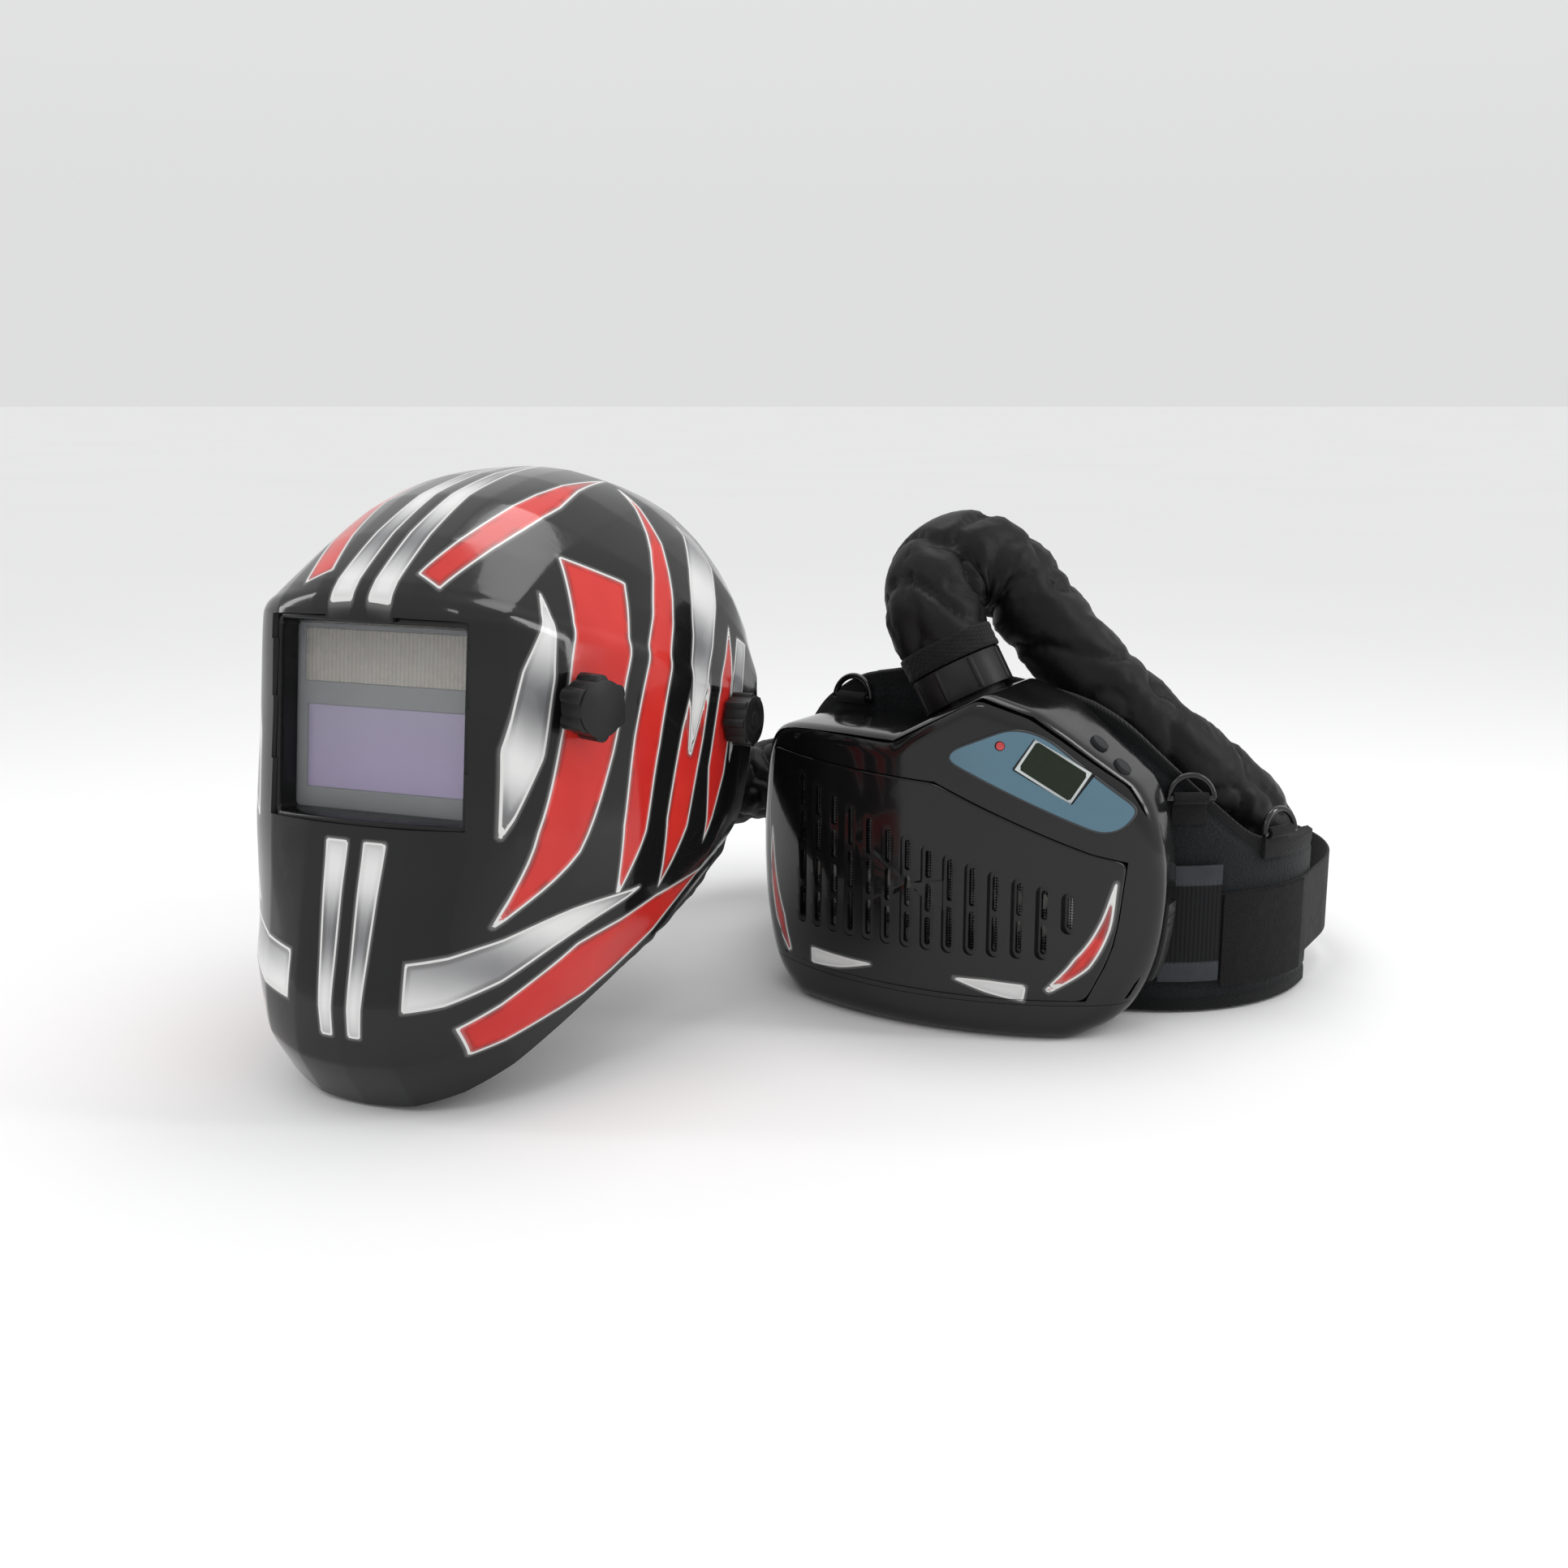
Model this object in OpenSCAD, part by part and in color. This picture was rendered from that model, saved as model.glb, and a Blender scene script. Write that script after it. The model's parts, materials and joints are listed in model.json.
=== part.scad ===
// Powered air welding respirator: an auto-darkening welding helmet, a belt blower with filter
// and battery, a cloth-covered breathing hose and a padded waist belt.
// The frame's origin is on the blower's foot. +Z is up, -Y is the blower's front.

/* [Blower case] */
// Radius of the case's bowed front face, seen from above
front_r = 190; // [185:1:200]
// Thickness of the moulded case walls
wall = 2.5; // [2:0.1:3]
// Height of the battery slab under the case
battery_h = 21; // [20:0.5:22]
// Number of louvre columns in the filter cover
louvre_n = 14; // [8:1:14]
// Width of one louvre slot
louvre_w = 3.6; // [2:0.1:3.8]
// Radius of the fan impeller
impeller_r = 36; // [30:1:38]
// Number of impeller blades
blade_n = 24; // [12:1:30]

/* [Belt] */
// Half length of the straight run behind the blower
loop_hx = 68; // [60:1:75]
// Outer radius of the belt pad's corners
loop_r = 105; // [100:1:110]
// Length of the straight run at each side of the waist
loop_s = 36; // [30:1:45]
// Thickness of the waist pad
pad_t = 9; // [6:0.5:10]
// Width of the webbing
web_w = 50; // [40:1:50]

/* [Hose] */
// Outer diameter of the hose's nylon sleeve
sleeve_d = 50; // [44:1:52]
// Outer diameter of the corrugated inner hose
inner_d = 34; // [28:1:38]

/* [Helmet] */
// Thickness of the helmet shell
shell_t = 3; // [2.5:0.1:3.5]
// Width of the window's visible opening
win_w = 104; // [96:1:106]
// Height of the window's visible opening
win_h = 94; // [88:1:96]
// Radius of the shade knob
shade_r = 17; // [14:0.5:19]

/* [Headgear] */
// Half width of the headband
band_x = 80; // [74:1:82]
// Half length of the headband, front to back
band_y = 100; // [94:1:102]
// Height of the headband
band_h = 24; // [20:1:26]
// Outer radius of the crown air duct, about the helmet pivot
duct_r = 120; // [116:0.5:122]

/* [Hidden] */

// ---------- curve helpers ----------
function cr1(a,b,c,d,t) = ((2*b) + (c-a)*t + (2*a-5*b+4*c-d)*t*t + (3*b-a-3*c+d)*t*t*t)/2;
function cr_open(p,n) = let(m=len(p)) concat([for(i=[0:m-2])
  let(a = i>0 ? p[i-1] : 2*p[0]-p[1], d = i<m-2 ? p[i+2] : 2*p[m-1]-p[m-2])
  for(k=[0:n-1]) cr1(a,p[i],p[i+1],d,k/n)], [p[m-1]]);
function unit(v) = v/norm(v);
// moves a counter-clockwise outline inwards by d
function inset(p,d) = [for(i=[0:len(p)-1]) let(m=len(p), t1=unit(p[i]-p[(i+m-1)%m]), t2=unit(p[(i+1)%m]-p[i]),
  n1=[-t1.y,t1.x], n2=[-t2.y,t2.x]) p[i] + d*(n1+n2)/(1+n1*n2)];
// extrudes an XZ outline from y0 to y1
module xz(y0,y1) translate([0,y1,0]) rotate([90,0,0]) linear_extrude(y1-y0) children();
module box(lo,hi) translate(lo) cube(hi-lo);

// ---------- blower case ----------
// the case's outline seen from the front, counter-clockwise from the notch beside the outlet
case_left = [[-14,168],[-55,168],[-96,164],[-114,151],[-121,120],[-123,82],[-118,45],[-105,15],[-84,0]];
case_right = [[88,0],[110,13],[124,40],[129,75],[128,104],[122,130],[114,147]];
case_pts = concat(cr_open(case_left,4), cr_open(case_right,4), [[82,174],[66,186],[38,196]]);
case_cx = -5; case_cy = 132; case_back = 24; split_y = 4;
module front_cyl(r) translate([case_cx,case_cy,-5]) cylinder(r=r, h=230, $fn=180);
module case_solid(d=0) intersection() { xz(-75,case_back) polygon(inset(case_pts,d)); front_cyl(front_r-d); }
// y of the case's front face at x
function face_y(x) = case_cy - sqrt(front_r*front_r - (x-case_cx)*(x-case_cx));
// the filter cover's outline
cover_pts = concat([[-104,150]], cr_open([[-110,112],[-107,66],[-93,25]],3), cr_open([[96,24],[108,56],[113,103]],3), [[97,108],[14,145]]);
filter_pts = [[-86,140],[-86,34],[88,34],[88,90],[18,112],[-72,140]];
louvre_x0 = -77; louvre_dx = 12.65;
function louvre_top(x) = lookup(x, [[-77,138],[18,104],[88,84]]);
function louvre_bot(i) = i == louvre_n-1 ? 66 : 51;

// places children at the hose outlet: local +Z leaves the case, up and to the left
module at_outlet() translate([11,-2,182]) rotate([0,-29,0]) children();
// places children on the sloping ridge above the control panel, t mm along it
module at_ridge(t,y) translate([82+0.764*t, y, 174-0.645*t]) rotate([0,40.2,0]) children();
// places children on the bowed front face at x,z: local -Y points outwards
module at_face(x,z) translate([x,face_y(x),z]) rotate([0,0,asin((x-case_cx)/front_r)]) children();
module lcd_place() at_face(77,154.5) rotate([0,32,0]) children();
fan_c = [-22,88];
screw_p = [[-96,44],[-98,138],[100,46],[98,126]];

module latch_pocket(s,g) box([s>0?100:-131,6-g,30-g],[s>0?133:-100,18+g,76+g]);

module rear_housing() color("#26272a") difference() {
  union() {
    difference() {
      xz(split_y,case_back) polygon(case_pts);
      xz(split_y-1,case_back-wall) polygon(inset(case_pts,wall));
    }
    // foot lip under the case
    box([-80,-7,0],[82,split_y+2,3]);
    // screw posts
    for(p=screw_p) translate([p[0],case_back-1,p[1]]) rotate([90,0,0]) cylinder(r=4,h=16,$fn=32);
  }
  at_outlet() translate([0,0,-12]) cylinder(r=21.2,h=30,$fn=64);
  for(s=[-1,1]) latch_pocket(s,0.3);
  for(p=screw_p) translate([p[0],case_back+1,p[1]]) rotate([90,0,0]) cylinder(r=1.7,h=24,$fn=32);
  for(x=[-40,40], z=[44,136]) translate([x,case_back+1,z]) rotate([90,0,0]) cylinder(r=1.7,h=6,$fn=32);
}

module front_housing() color("#2c2d30") difference() {
  intersection() { case_solid(); box([-150,-80,-1],[150,split_y-0.05,220]); }
  // main cavity above the bay floor
  intersection() {
    xz(-75,split_y+1) polygon(inset(case_pts,wall));
    front_cyl(front_r-wall);
    box([-150,-80,battery_h+2.8],[150,split_y+2,220]);
  }
  // battery bay and the space behind it
  box([-150,-80,-1],[150,-7.7,battery_h+0.3]);
  box([-78,-5.5,3.2],[82,split_y+1,19]);
  box([-80.2,-7.3,-1],[82.2,split_y+1,3.2]);
  box([-15.2,-8,6],[15.2,-5,16]);
  // opening under the filter cover
  xz(-80,-3) polygon(inset(cover_pts,-0.4));
  // display, light, buttons and outlet
  lcd_place() box([-18.2,-3,-10.7],[18.2,6,10.7]);
  at_face(50,168) rotate([90,0,0]) cylinder(r=2.7,h=16,center=true,$fn=32);
  for(t=[12,30]) at_ridge(t,-9) translate([0,0,-5]) cylinder(r=5.7,h=10,$fn=48);
  at_outlet() translate([0,0,-12]) cylinder(r=21.2,h=30,$fn=64);
}

module filter_cover() color("#303134") difference() {
  intersection() {
    xz(-75,-2) polygon(cover_pts);
    difference() { front_cyl(front_r+1.2); front_cyl(front_r-2.8); }
  }
  // shallow channels round the louvres
  difference() {
    union() for(i=[0:louvre_n-1]) let(x=louvre_x0+i*louvre_dx) box([x-4.2,-75,louvre_bot(i)-3],[x+4.2,0,louvre_top(x)+3]);
    front_cyl(front_r-0.2);
  }
  // through slots, split by cross bars
  for(i=[0:louvre_n-1]) let(x=louvre_x0+i*louvre_dx, b=louvre_bot(i), n=max(1,round((louvre_top(x)-b)/21)), dz=(louvre_top(x)-b+3)/n)
    for(k=[0:n-1]) box([x-louvre_w/2,-75,b+k*dz],[x+louvre_w/2,0,b+(k+1)*dz-3]);
}

module spark_arrestor() color("#9a9c9e") difference() {
  xz(-29.8,-28.9) polygon(filter_pts);
  for(x=[-76:16:80], z=[46:16:78]) translate([x,-28,z]) rotate([90,0,0]) cylinder(r=5,h=4,$fn=24);
}
module prefilter() color("#e6e6e0") xz(-28.5,-26.1) polygon(inset(filter_pts,1));
module particle_filter() color("#ecece8") difference() {
  xz(-25.8,-5) polygon(filter_pts);
  for(x=[-78:12:80]) box([x-1.4,-27,38],[x+1.4,-14,86]);
}
module filter_gasket() color("#1c1c1e") difference() {
  xz(-4.8,-2.3) polygon(filter_pts);
  xz(-6,-1) polygon(inset(filter_pts,6));
}
module inner_chassis() color("#3a3b3e") difference() {
  intersection() { xz(-2,0.8) polygon(inset(case_pts,5)); box([-150,-3,battery_h+3.2],[150,3,220]); }
  translate([fan_c[0],2,fan_c[1]]) rotate([90,0,0]) cylinder(r=22,h=6,$fn=64);
  at_outlet() translate([0,0,-14]) cylinder(r=24.5,h=30,$fn=64);
}
duct_pts = [[-4,112],[24,88],[27,130],[31,182],[0,165],[-6,140]];
module fan_volute() color("#45474a") difference() {
  union() {
    translate([fan_c[0],20.8,fan_c[1]]) rotate([90,0,0]) cylinder(r=46,h=19.6,$fn=96);
    xz(1.2,20.8) polygon(duct_pts);
  }
  translate([fan_c[0],18.8,fan_c[1]]) rotate([90,0,0]) cylinder(r=44,h=15.8,$fn=96);
  xz(3,18.8) polygon([[-2,114],[22,96],[25,131],[28.4,183.5],[1.6,170],[-4,141]]);
  translate([fan_c[0],5,fan_c[1]]) rotate([90,0,0]) cylinder(r=22,h=6,$fn=64);
  translate([fan_c[0],22,fan_c[1]]) rotate([90,0,0]) cylinder(r=14.3,h=6,$fn=48);
}
module impeller() color("#d8d8d4") translate([fan_c[0],0,fan_c[1]]) rotate([90,0,0]) translate([0,0,-12.4]) difference() {
  union() {
    cylinder(r=impeller_r,h=1.6,$fn=96);
    cylinder(r=7,h=8,$fn=48);
    for(i=[0:blade_n-1]) rotate([0,0,i*360/blade_n]) translate([21,0,0.5]) rotate([0,0,28]) box([0,-0.7,0],[14.2,0.7,8.2]);
  }
  translate([0,0,-1]) cylinder(r=1.56,h=12,$fn=32);
}
module fan_motor() color("#77797c") translate([fan_c[0],0,fan_c[1]]) rotate([90,0,0]) {
  translate([0,0,-21.3]) cylinder(r=14,h=8.3,$fn=64);
  translate([0,0,-13.2]) cylinder(r=1.5,h=9.2,$fn=32);
}
module outlet_port() color("#2a2b2e") at_outlet() difference() {
  union() {
    translate([0,0,-7]) cylinder(r=21,h=25,$fn=72);
    translate([0,0,-6.2]) cylinder(r=23.6,h=2.2,$fn=72);
    for(a=[0,180]) rotate([0,0,a]) box([-3,20,13],[3,23.3,16]);
  }
  translate([0,0,-9]) cylinder(r=18,h=30,$fn=72);
}
module control_board() color("#2f6b3f") lcd_place() box([-23,6.4,-11],[21,8,11]);
module display_module() color("#1f2a1c") lcd_place() { box([-18,1.0,-10.5],[18,5,10.5]); box([-14,5,-8],[14,6.4,8]); }
panel_pts = [[22,164],[20,158],[101,119],[111,121],[119,133],[76,172],[66,177],[54,178]];
module control_panel() color("#4f7488") difference() {
  intersection() { xz(-75,-2) polygon(panel_pts); difference() { front_cyl(front_r+0.85); front_cyl(front_r+0.05); } }
  lcd_place() box([-17.4,-4,-9.9],[17.4,6,9.9]);
  at_face(50,168) rotate([90,0,0]) cylinder(r=2.7,h=16,center=true,$fn=32);
}
module alarm_light() color("#b01818") at_face(50,168) { rotate([90,0,0]) translate([0,0,-5]) cylinder(r=2.4,h=6.2,$fn=32); }
module push_button(t) at_ridge(t,-9) { translate([0,0,-2.8]) cylinder(r=5.4,h=4.8,$fn=48); translate([0,0,-4]) cylinder(r=6.8,h=1.3,$fn=48); }
module power_button() color("#3b3c3f") push_button(12);
module airflow_button() color("#3b3c3f") push_button(30);

module battery_case() color("#222326") difference() {
  intersection() { case_solid(); box([-150,-80,0],[150,-8,battery_h]); }
  box([-70,-29.2,1.2],[67.5,-10,battery_h-1.2]);
  box([-40,-47.6,1.2],[29,-29,battery_h-1.2]);
}
module battery_cells() color("#2e7d5b") {
  for(x=[-68.5,0.5]) translate([x,-19.6,10.5]) rotate([0,90,0]) cylinder(r=9,h=65,$fn=40);
  translate([-37.5,-38.2,10.5]) rotate([0,90,0]) cylinder(r=9,h=65,$fn=40);
}
module battery_contacts() color("#c9a24a") box([-15,-7.9,6.2],[15,-2,15.8]);
module cover_latch(s) color("#1d1e20") difference() {
  intersection() { xz(6,18) polygon(inset(case_pts,-1.4)); latch_pocket(s,0); }
  box([s>0?90:-110,2,20],[s>0?112:-90,22,90]);
  for(z=[38:6:68]) box([s>0?129.4:-140,7,z],[s>0?140:-123.6,17,z+1.5]);
}
module belt_plate() color("#1b1c1e") difference() {
  box([-60,case_back,34],[60,27.2,146]);
  for(x=[-40,40], z=[44,136]) translate([x,30,z]) rotate([90,0,0]) cylinder(r=2.1,h=8,$fn=32);
}
module housing_screws() color("#8a8c90") {
  for(p=screw_p) translate([p[0],case_back+1.4,p[1]]) rotate([90,0,0]) { cylinder(r=3.2,h=1.4,$fn=32); cylinder(r=1.6,h=14,$fn=32); }
}

// ---------- hose ----------
sleeve_pts = [[-0.3,-2,202.4],[-4.1,-2,209.2],[-7.6,-1.7,215.6],[-12,-0.5,223.5],[-16.5,3,232],[-19,10,242],[-18,21,251.5],[-11,33,257],[0,44.5,254.5],[12,53.5,244.5],[24,60,229],[40,64.5,209],[59,68,189],
  [80,74,169],[102,86,148],[121,106,127],[133,130,105],[135,155,82],[129,180,61],[114,202,43],[93,219,31],[67,230,26.5],[40,233,26],[12,230,28],
  [-14,225,33],[-40,219,43],[-67,213,57],[-95,207,75],[-122,201,92],[-148,194,101],[-172,184,102],[-190,173,96],[-207,159,88],[-221,143,83],[-231,126,82],
  [-238,109,87],[-242,95,97],[-244,85,110],[-244.6,77,125],[-244.2,70.2,139],[-243.2,63.5,150.5],[-242,56.5,159.1],[-240.9,49.6,166.1],[-239.8,42.6,173.2],[-238.7,35.6,180.3]];
// rotation-minimising rings along a route
function rings(p,r,n,u,i=0) = let(m=len(p), t = i==0 ? unit(p[1]-p[0]) : i==m-1 ? unit(p[m-1]-p[m-2]) : unit(p[i+1]-p[i-1]),
  v = unit(u-(u*t)*t), w = cross(t,v), ring = [for(k=[0:n-1]) p[i]+r*(cos(360*k/n)*v+sin(360*k/n)*w)])
  i==m-1 ? [ring] : concat([ring], rings(p,r,n,v,i+1));
function flat(l) = [for(a=l) for(b=a) b];
// hollow tube along a route
module tube(p,r,ri,n=10) {
  a = rings(p,r,n,[1,0,0.2]); b = rings(p,ri,n,[1,0,0.2]); m = len(p); o = m*n;
  polyhedron(flat(concat(a,b)), concat(
    [for(i=[0:m-2], k=[0:n-1]) [i*n+k, i*n+(k+1)%n, (i+1)*n+(k+1)%n, (i+1)*n+k]],
    [for(i=[0:m-2], k=[0:n-1]) [o+i*n+k, o+(i+1)*n+k, o+(i+1)*n+(k+1)%n, o+i*n+(k+1)%n]],
    [for(k=[0:n-1]) [k, o+k, o+(k+1)%n, (k+1)%n]],
    [for(k=[0:n-1]) let(j=(m-1)*n) [j+k, j+(k+1)%n, o+j+(k+1)%n, o+j+k]]), convexity=8);
}
module hose_sleeve() color("#17181a") tube(sleeve_pts, sleeve_d/2-0.6, sleeve_d/2-2, 10);
module breathing_hose() color("#2b2c2e") tube(sleeve_pts, inner_d/2, inner_d/2-2, 8);
module hose_collar() color("#202123") at_outlet() difference() {
  union() { translate([0,0,3]) cylinder(r=27,h=20,$fn=72); for(a=[0:45:315]) rotate([0,0,a]) translate([26.4,0,4]) cylinder(r=1.8,h=18,$fn=24); }
  translate([0,0,2]) cylinder(r=21.3,h=17,$fn=72);
  translate([0,0,18]) cylinder(r=17.6,h=10,$fn=72);
  // bayonet track
  translate([0,0,12.5]) cylinder(r=23.7,h=4,$fn=72);
}
module cuff_blower() color("#121314") at_outlet() translate([0,0,24]) difference() { cylinder(r=28,h=14,$fn=48); translate([0,0,-1]) cylinder(r=25.4,h=16,$fn=48); }
module hose_end() translate([-239.4,39.9,176]) rotate([-135,0,9]) children();
module cuff_helmet() color("#121314") hose_end() difference() { cylinder(r=27.6,h=14,$fn=48); translate([0,0,-1]) cylinder(r=25.4,h=16,$fn=48); }

// ---------- belt ----------
// places children on the loop's front corner: side s, angle phi from the front, radius r
module on_loop(s,phi,r,z) translate([s*(loop_hx+r*sin(phi)), 28+loop_r-r*cos(phi), z]) rotate([0,0,s*phi]) children();
// an upright band sector on the front corner
module band_arc(s,r0,r1,z0,z1,a0,a1) translate([s*loop_hx,28+loop_r,z0]) mirror([s<0?1:0,0,0]) rotate([0,0,-90+a0])
  rotate_extrude(angle=a1-a0,$fn=120) translate([r0,0]) square([r1-r0,z1-z0]);
module band_rear_arc(s,r0,r1,z0,z1) translate([s*loop_hx,28+loop_r+loop_s,z0]) mirror([s<0?1:0,0,0])
  rotate_extrude(angle=90,$fn=120) translate([r0,0]) square([r1-r0,z1-z0]);
pad_top = [[-200,0],[200,0],[200,93],[176,96],[158,103],[140,125],[116,150],[93,172],[69,184],[24,193],[-40,195],[-81,187],[-110,168],[-140,125],[-158,103],[-176,96],[-200,93]];
module waist_pad() color("#2a2b2d") intersection() {
  union() {
    box([-loop_hx,28,0],[loop_hx,28+pad_t,200]);
    for(s=[-1,1]) { band_arc(s,loop_r-pad_t,loop_r,0,200,0,90);
      box([s>0?loop_hx+loop_r-pad_t:-loop_hx-loop_r, 28+loop_r, 0],[s>0?loop_hx+loop_r:-loop_hx-loop_r+pad_t, 28+loop_r+16, 200]); }
  }
  xz(20,200) polygon(pad_top);
}
web_r0 = loop_r+0.3; web_r1 = loop_r+2.1; web_z = 22;
// the webbing's line at radius r: front corner, side, rear corner, then along the back to its end
function web_line(s,r) = concat([for(a=[4:2:90]) [s*(loop_hx+r*sin(a)), 28+loop_r-r*cos(a)]],
  [for(a=[90:3:180]) [s*(loop_hx+r*sin(a)), 28+loop_r+loop_s-r*cos(a)]], [[s>0?9:-31, 28+loop_r+loop_s+r]]);
function rev(l) = [for(i=[len(l)-1:-1:0]) l[i]];
module webbing(s) color("#161718") translate([0,0,web_z]) linear_extrude(web_w) polygon(concat(web_line(s,web_r1), rev(web_line(s,web_r0))));
module belt_panels() color("#232427") for(s=[-1,1]) band_arc(s,loop_r+2.4,loop_r+4.2,20,90,26,45);
module hook_panels() color("#0f1011") for(s=[-1,1]) band_arc(s,loop_r+2.5,loop_r+4.1,16,72,46,82);
buckle_y = 28+loop_r+loop_s+loop_r+1.2;
module buckle_female() color("#101113") difference() {
  box([-32,buckle_y-6,web_z-4],[0,buckle_y+4,web_z+web_w+4]);
  // mouth for the prongs
  box([-22,buckle_y-4.4,web_z+1.6],[1,buckle_y-0.8,web_z+web_w-1.6]);
  // slot for the webbing
  box([-33,buckle_y-1.3,web_z-0.4],[-24,buckle_y+1.3,web_z+web_w+0.4]);
  // side windows where the prongs latch
  for(z=[web_z-5,web_z+web_w-3]) box([-20,buckle_y-4.2,z],[-8,buckle_y-1,z+8]);
}
module buckle_male() color("#101113") union() {
  box([0.4,buckle_y-4,web_z-3],[20,buckle_y-1.2,web_z+web_w+3]);
  for(z=[web_z+2.6,web_z+web_w-9.6]) box([-18,buckle_y-4,z],[1,buckle_y-1.2,z+7]);
  box([-12,buckle_y-4,web_z+22],[1,buckle_y-1.2,web_z+28]);
  for(z=[web_z-3,web_z+web_w+0.4]) box([0.4,buckle_y-4,z],[20,buckle_y+3.6,z+2.6]);
  // ladder bar over the webbing
  box([13,buckle_y+1.2,web_z-3],[18,buckle_y+3.6,web_z+web_w+3]);
}
module d_ring() { rotate([0,90,0]) cylinder(r=1.8,h=28,center=true,$fn=32); rotate([90,0,0]) rotate_extrude(angle=180,$fn=64) translate([13,0]) circle(1.8,$fn=24); }
module ring_place(i) { if(i==0) on_loop(-1,7,loop_r+4.3,173) children(); if(i==1) on_loop(1,33.5,loop_r+4.3,130) children(); if(i==2) on_loop(1,65.7,loop_r+4.3,106) children(); }
module ring_node(i) color("#0d0e0f") ring_place(i) rotate([-8,0,0]) d_ring();
module d_ring_left() ring_node(0);
module d_ring_middle() ring_node(1);
module d_ring_right() ring_node(2);
module d_ring_tabs() color("#161718") for(i=[0:2]) ring_place(i) difference() {
  union() { rotate([0,90,0]) cylinder(r=3.4,h=20,center=true,$fn=32); box([-10,1.6,-16],[10,4.2,0]); }
  rotate([0,90,0]) cylinder(r=2.1,h=30,center=true,$fn=32);
}

// ---------- helmet ----------
module at_helmet() translate([-212,-133,0]) rotate([0,0,9]) children();
pivot = [24,176];
// control net of the shell's outer face, right half seen from behind the mask: rows run from the
// rear crown edge over the forehead down to the chin, columns from the middle to the side edge
net = [
 [[0,56,306],[25,56,304],[48,56,298],[68,57,287],[84,59,272],[96,62,255],[104,66,238],[110,69,220],[112,71,205]],
 [[0,15,315],[26,15,313],[51,16,306],[72,20,294],[90,28,277],[102,38,259],[110,50,240],[113,61,220],[114,71,201]],
 [[0,-30,313],[27,-29,311],[52,-26,304],[73,-18,291],[91,-4,275],[104,14,256],[112,33,237],[116,53,217],[115,72,197]],
 [[0,-75,304],[27,-73,302],[51,-68,294],[72,-57,282],[91,-38,267],[105,-12,249],[113,14,231],[117,43,212],[116,72,192]],
 [[0,-115,287],[27,-113,285],[50,-107,279],[70,-94,269],[88,-70,256],[104,-38,241],[114,-4,224],[118,34,206],[116,72,186]],
 [[0,-147,266],[27,-146,265],[51,-139,261],[70,-125,255],[86,-98,245],[102,-60,231],[114,-18,214],[119,27,196],[116,72,178]],
 [[0,-156,252],[28,-155,251],[52,-150,250],[71,-137,246],[88,-106,236],[104,-67,223],[116,-22,205],[120,23,187],[115,70,170]],
 [[0,-160,200],[29,-159,200],[54,-154,200],[74,-140,198],[92,-110,193],[107,-71,182],[117,-28,170],[120,20,159],[114,66,149]],
 [[0,-167,143],[30,-166,143],[56,-160,143],[77,-145,142],[96,-113,139],[111,-74,133],[118,-32,128],[119,14,123],[112,58,118]],
 [[0,-176,113],[29,-174,113],[54,-166,113],[75,-149,113],[95,-118,112],[109,-80,110],[116,-38,109],[116,8,108],[110,50,107]],
 [[0,-183,86],[28,-181,86],[53,-171,87],[73,-153,88],[91,-123,90],[106,-86,92],[112,-44,95],[113,1,98],[108,41,100]],
 [[0,-190,58],[28,-187,59],[53,-177,62],[73,-157,67],[90,-126,73],[103,-89,80],[109,-49,86],[110,-6,91],[106,33,95]],
 [[0,-188,28],[28,-186,30],[53,-175,35],[72,-154,43],[87,-124,54],[99,-88,66],[106,-50,76],[108,-9,84],[105,29,90]],
 [[0,-171,1],[28,-169,3],[52,-160,11],[70,-142,22],[84,-116,37],[97,-84,54],[104,-50,67],[106,-13,78],[104,25,86]]];
// dense rows of one half: Catmull-Rom along a row, with the middle column mirrored for its end slope
function row_half(r,n) = let(q=concat([[-r[1].x,r[1].y,r[1].z]], r), m=len(q)) concat([for(i=[1:m-2]) for(k=[0:n-1])
  cr1(q[i-1],q[i],q[i+1], i<m-2 ? q[i+2] : 2*q[m-1]-q[m-2], k/n)], [q[m-1]]);
function full_row(h) = concat([for(i=[len(h)-1:-1:1]) [-h[i].x,h[i].y,h[i].z]], h);
function columns(g,n) = let(m=len(g)) concat([for(i=[0:m-2]) for(k=[0:n-1]) [for(j=[0:len(g[0])-1])
  cr1(i>0 ? g[i-1][j] : 2*g[0][j]-g[1][j], g[i][j], g[i+1][j], i<m-2 ? g[i+2][j] : 2*g[m-1][j]-g[m-2][j], k/n)]], [g[m-1]]);
shell_grid = columns([for(r=net) full_row(row_half(r,2))], 2);
function grid_n(g,i,j) = let(a=g[min(i+1,len(g)-1)][j]-g[max(i-1,0)][j], b=g[i][min(j+1,len(g[0])-1)]-g[i][max(j-1,0)]) unit(cross(a,b));
module thick_sheet(g,d) {
  R=len(g); C=len(g[0]); o=R*C;
  inner=[for(i=[0:R-1]) [for(j=[0:C-1]) g[i][j]-d*grid_n(g,i,j)]];
  polyhedron(flat(concat(g,inner)), concat(
    [for(i=[0:R-2], j=[0:C-2]) [i*C+j, i*C+j+1, (i+1)*C+j+1, (i+1)*C+j]],
    [for(i=[0:R-2], j=[0:C-2]) [o+i*C+j, o+(i+1)*C+j, o+(i+1)*C+j+1, o+i*C+j+1]],
    [for(j=[0:C-2]) [j, o+j, o+j+1, j+1]],
    [for(j=[0:C-2]) let(e=(R-1)*C) [e+j, e+j+1, o+e+j+1, o+e+j]],
    [for(i=[0:R-2]) [i*C, (i+1)*C, o+(i+1)*C, o+i*C]],
    [for(i=[0:R-2]) let(e=C-1) [i*C+e, o+i*C+e, o+(i+1)*C+e, (i+1)*C+e]]), convexity=10);
}
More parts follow.
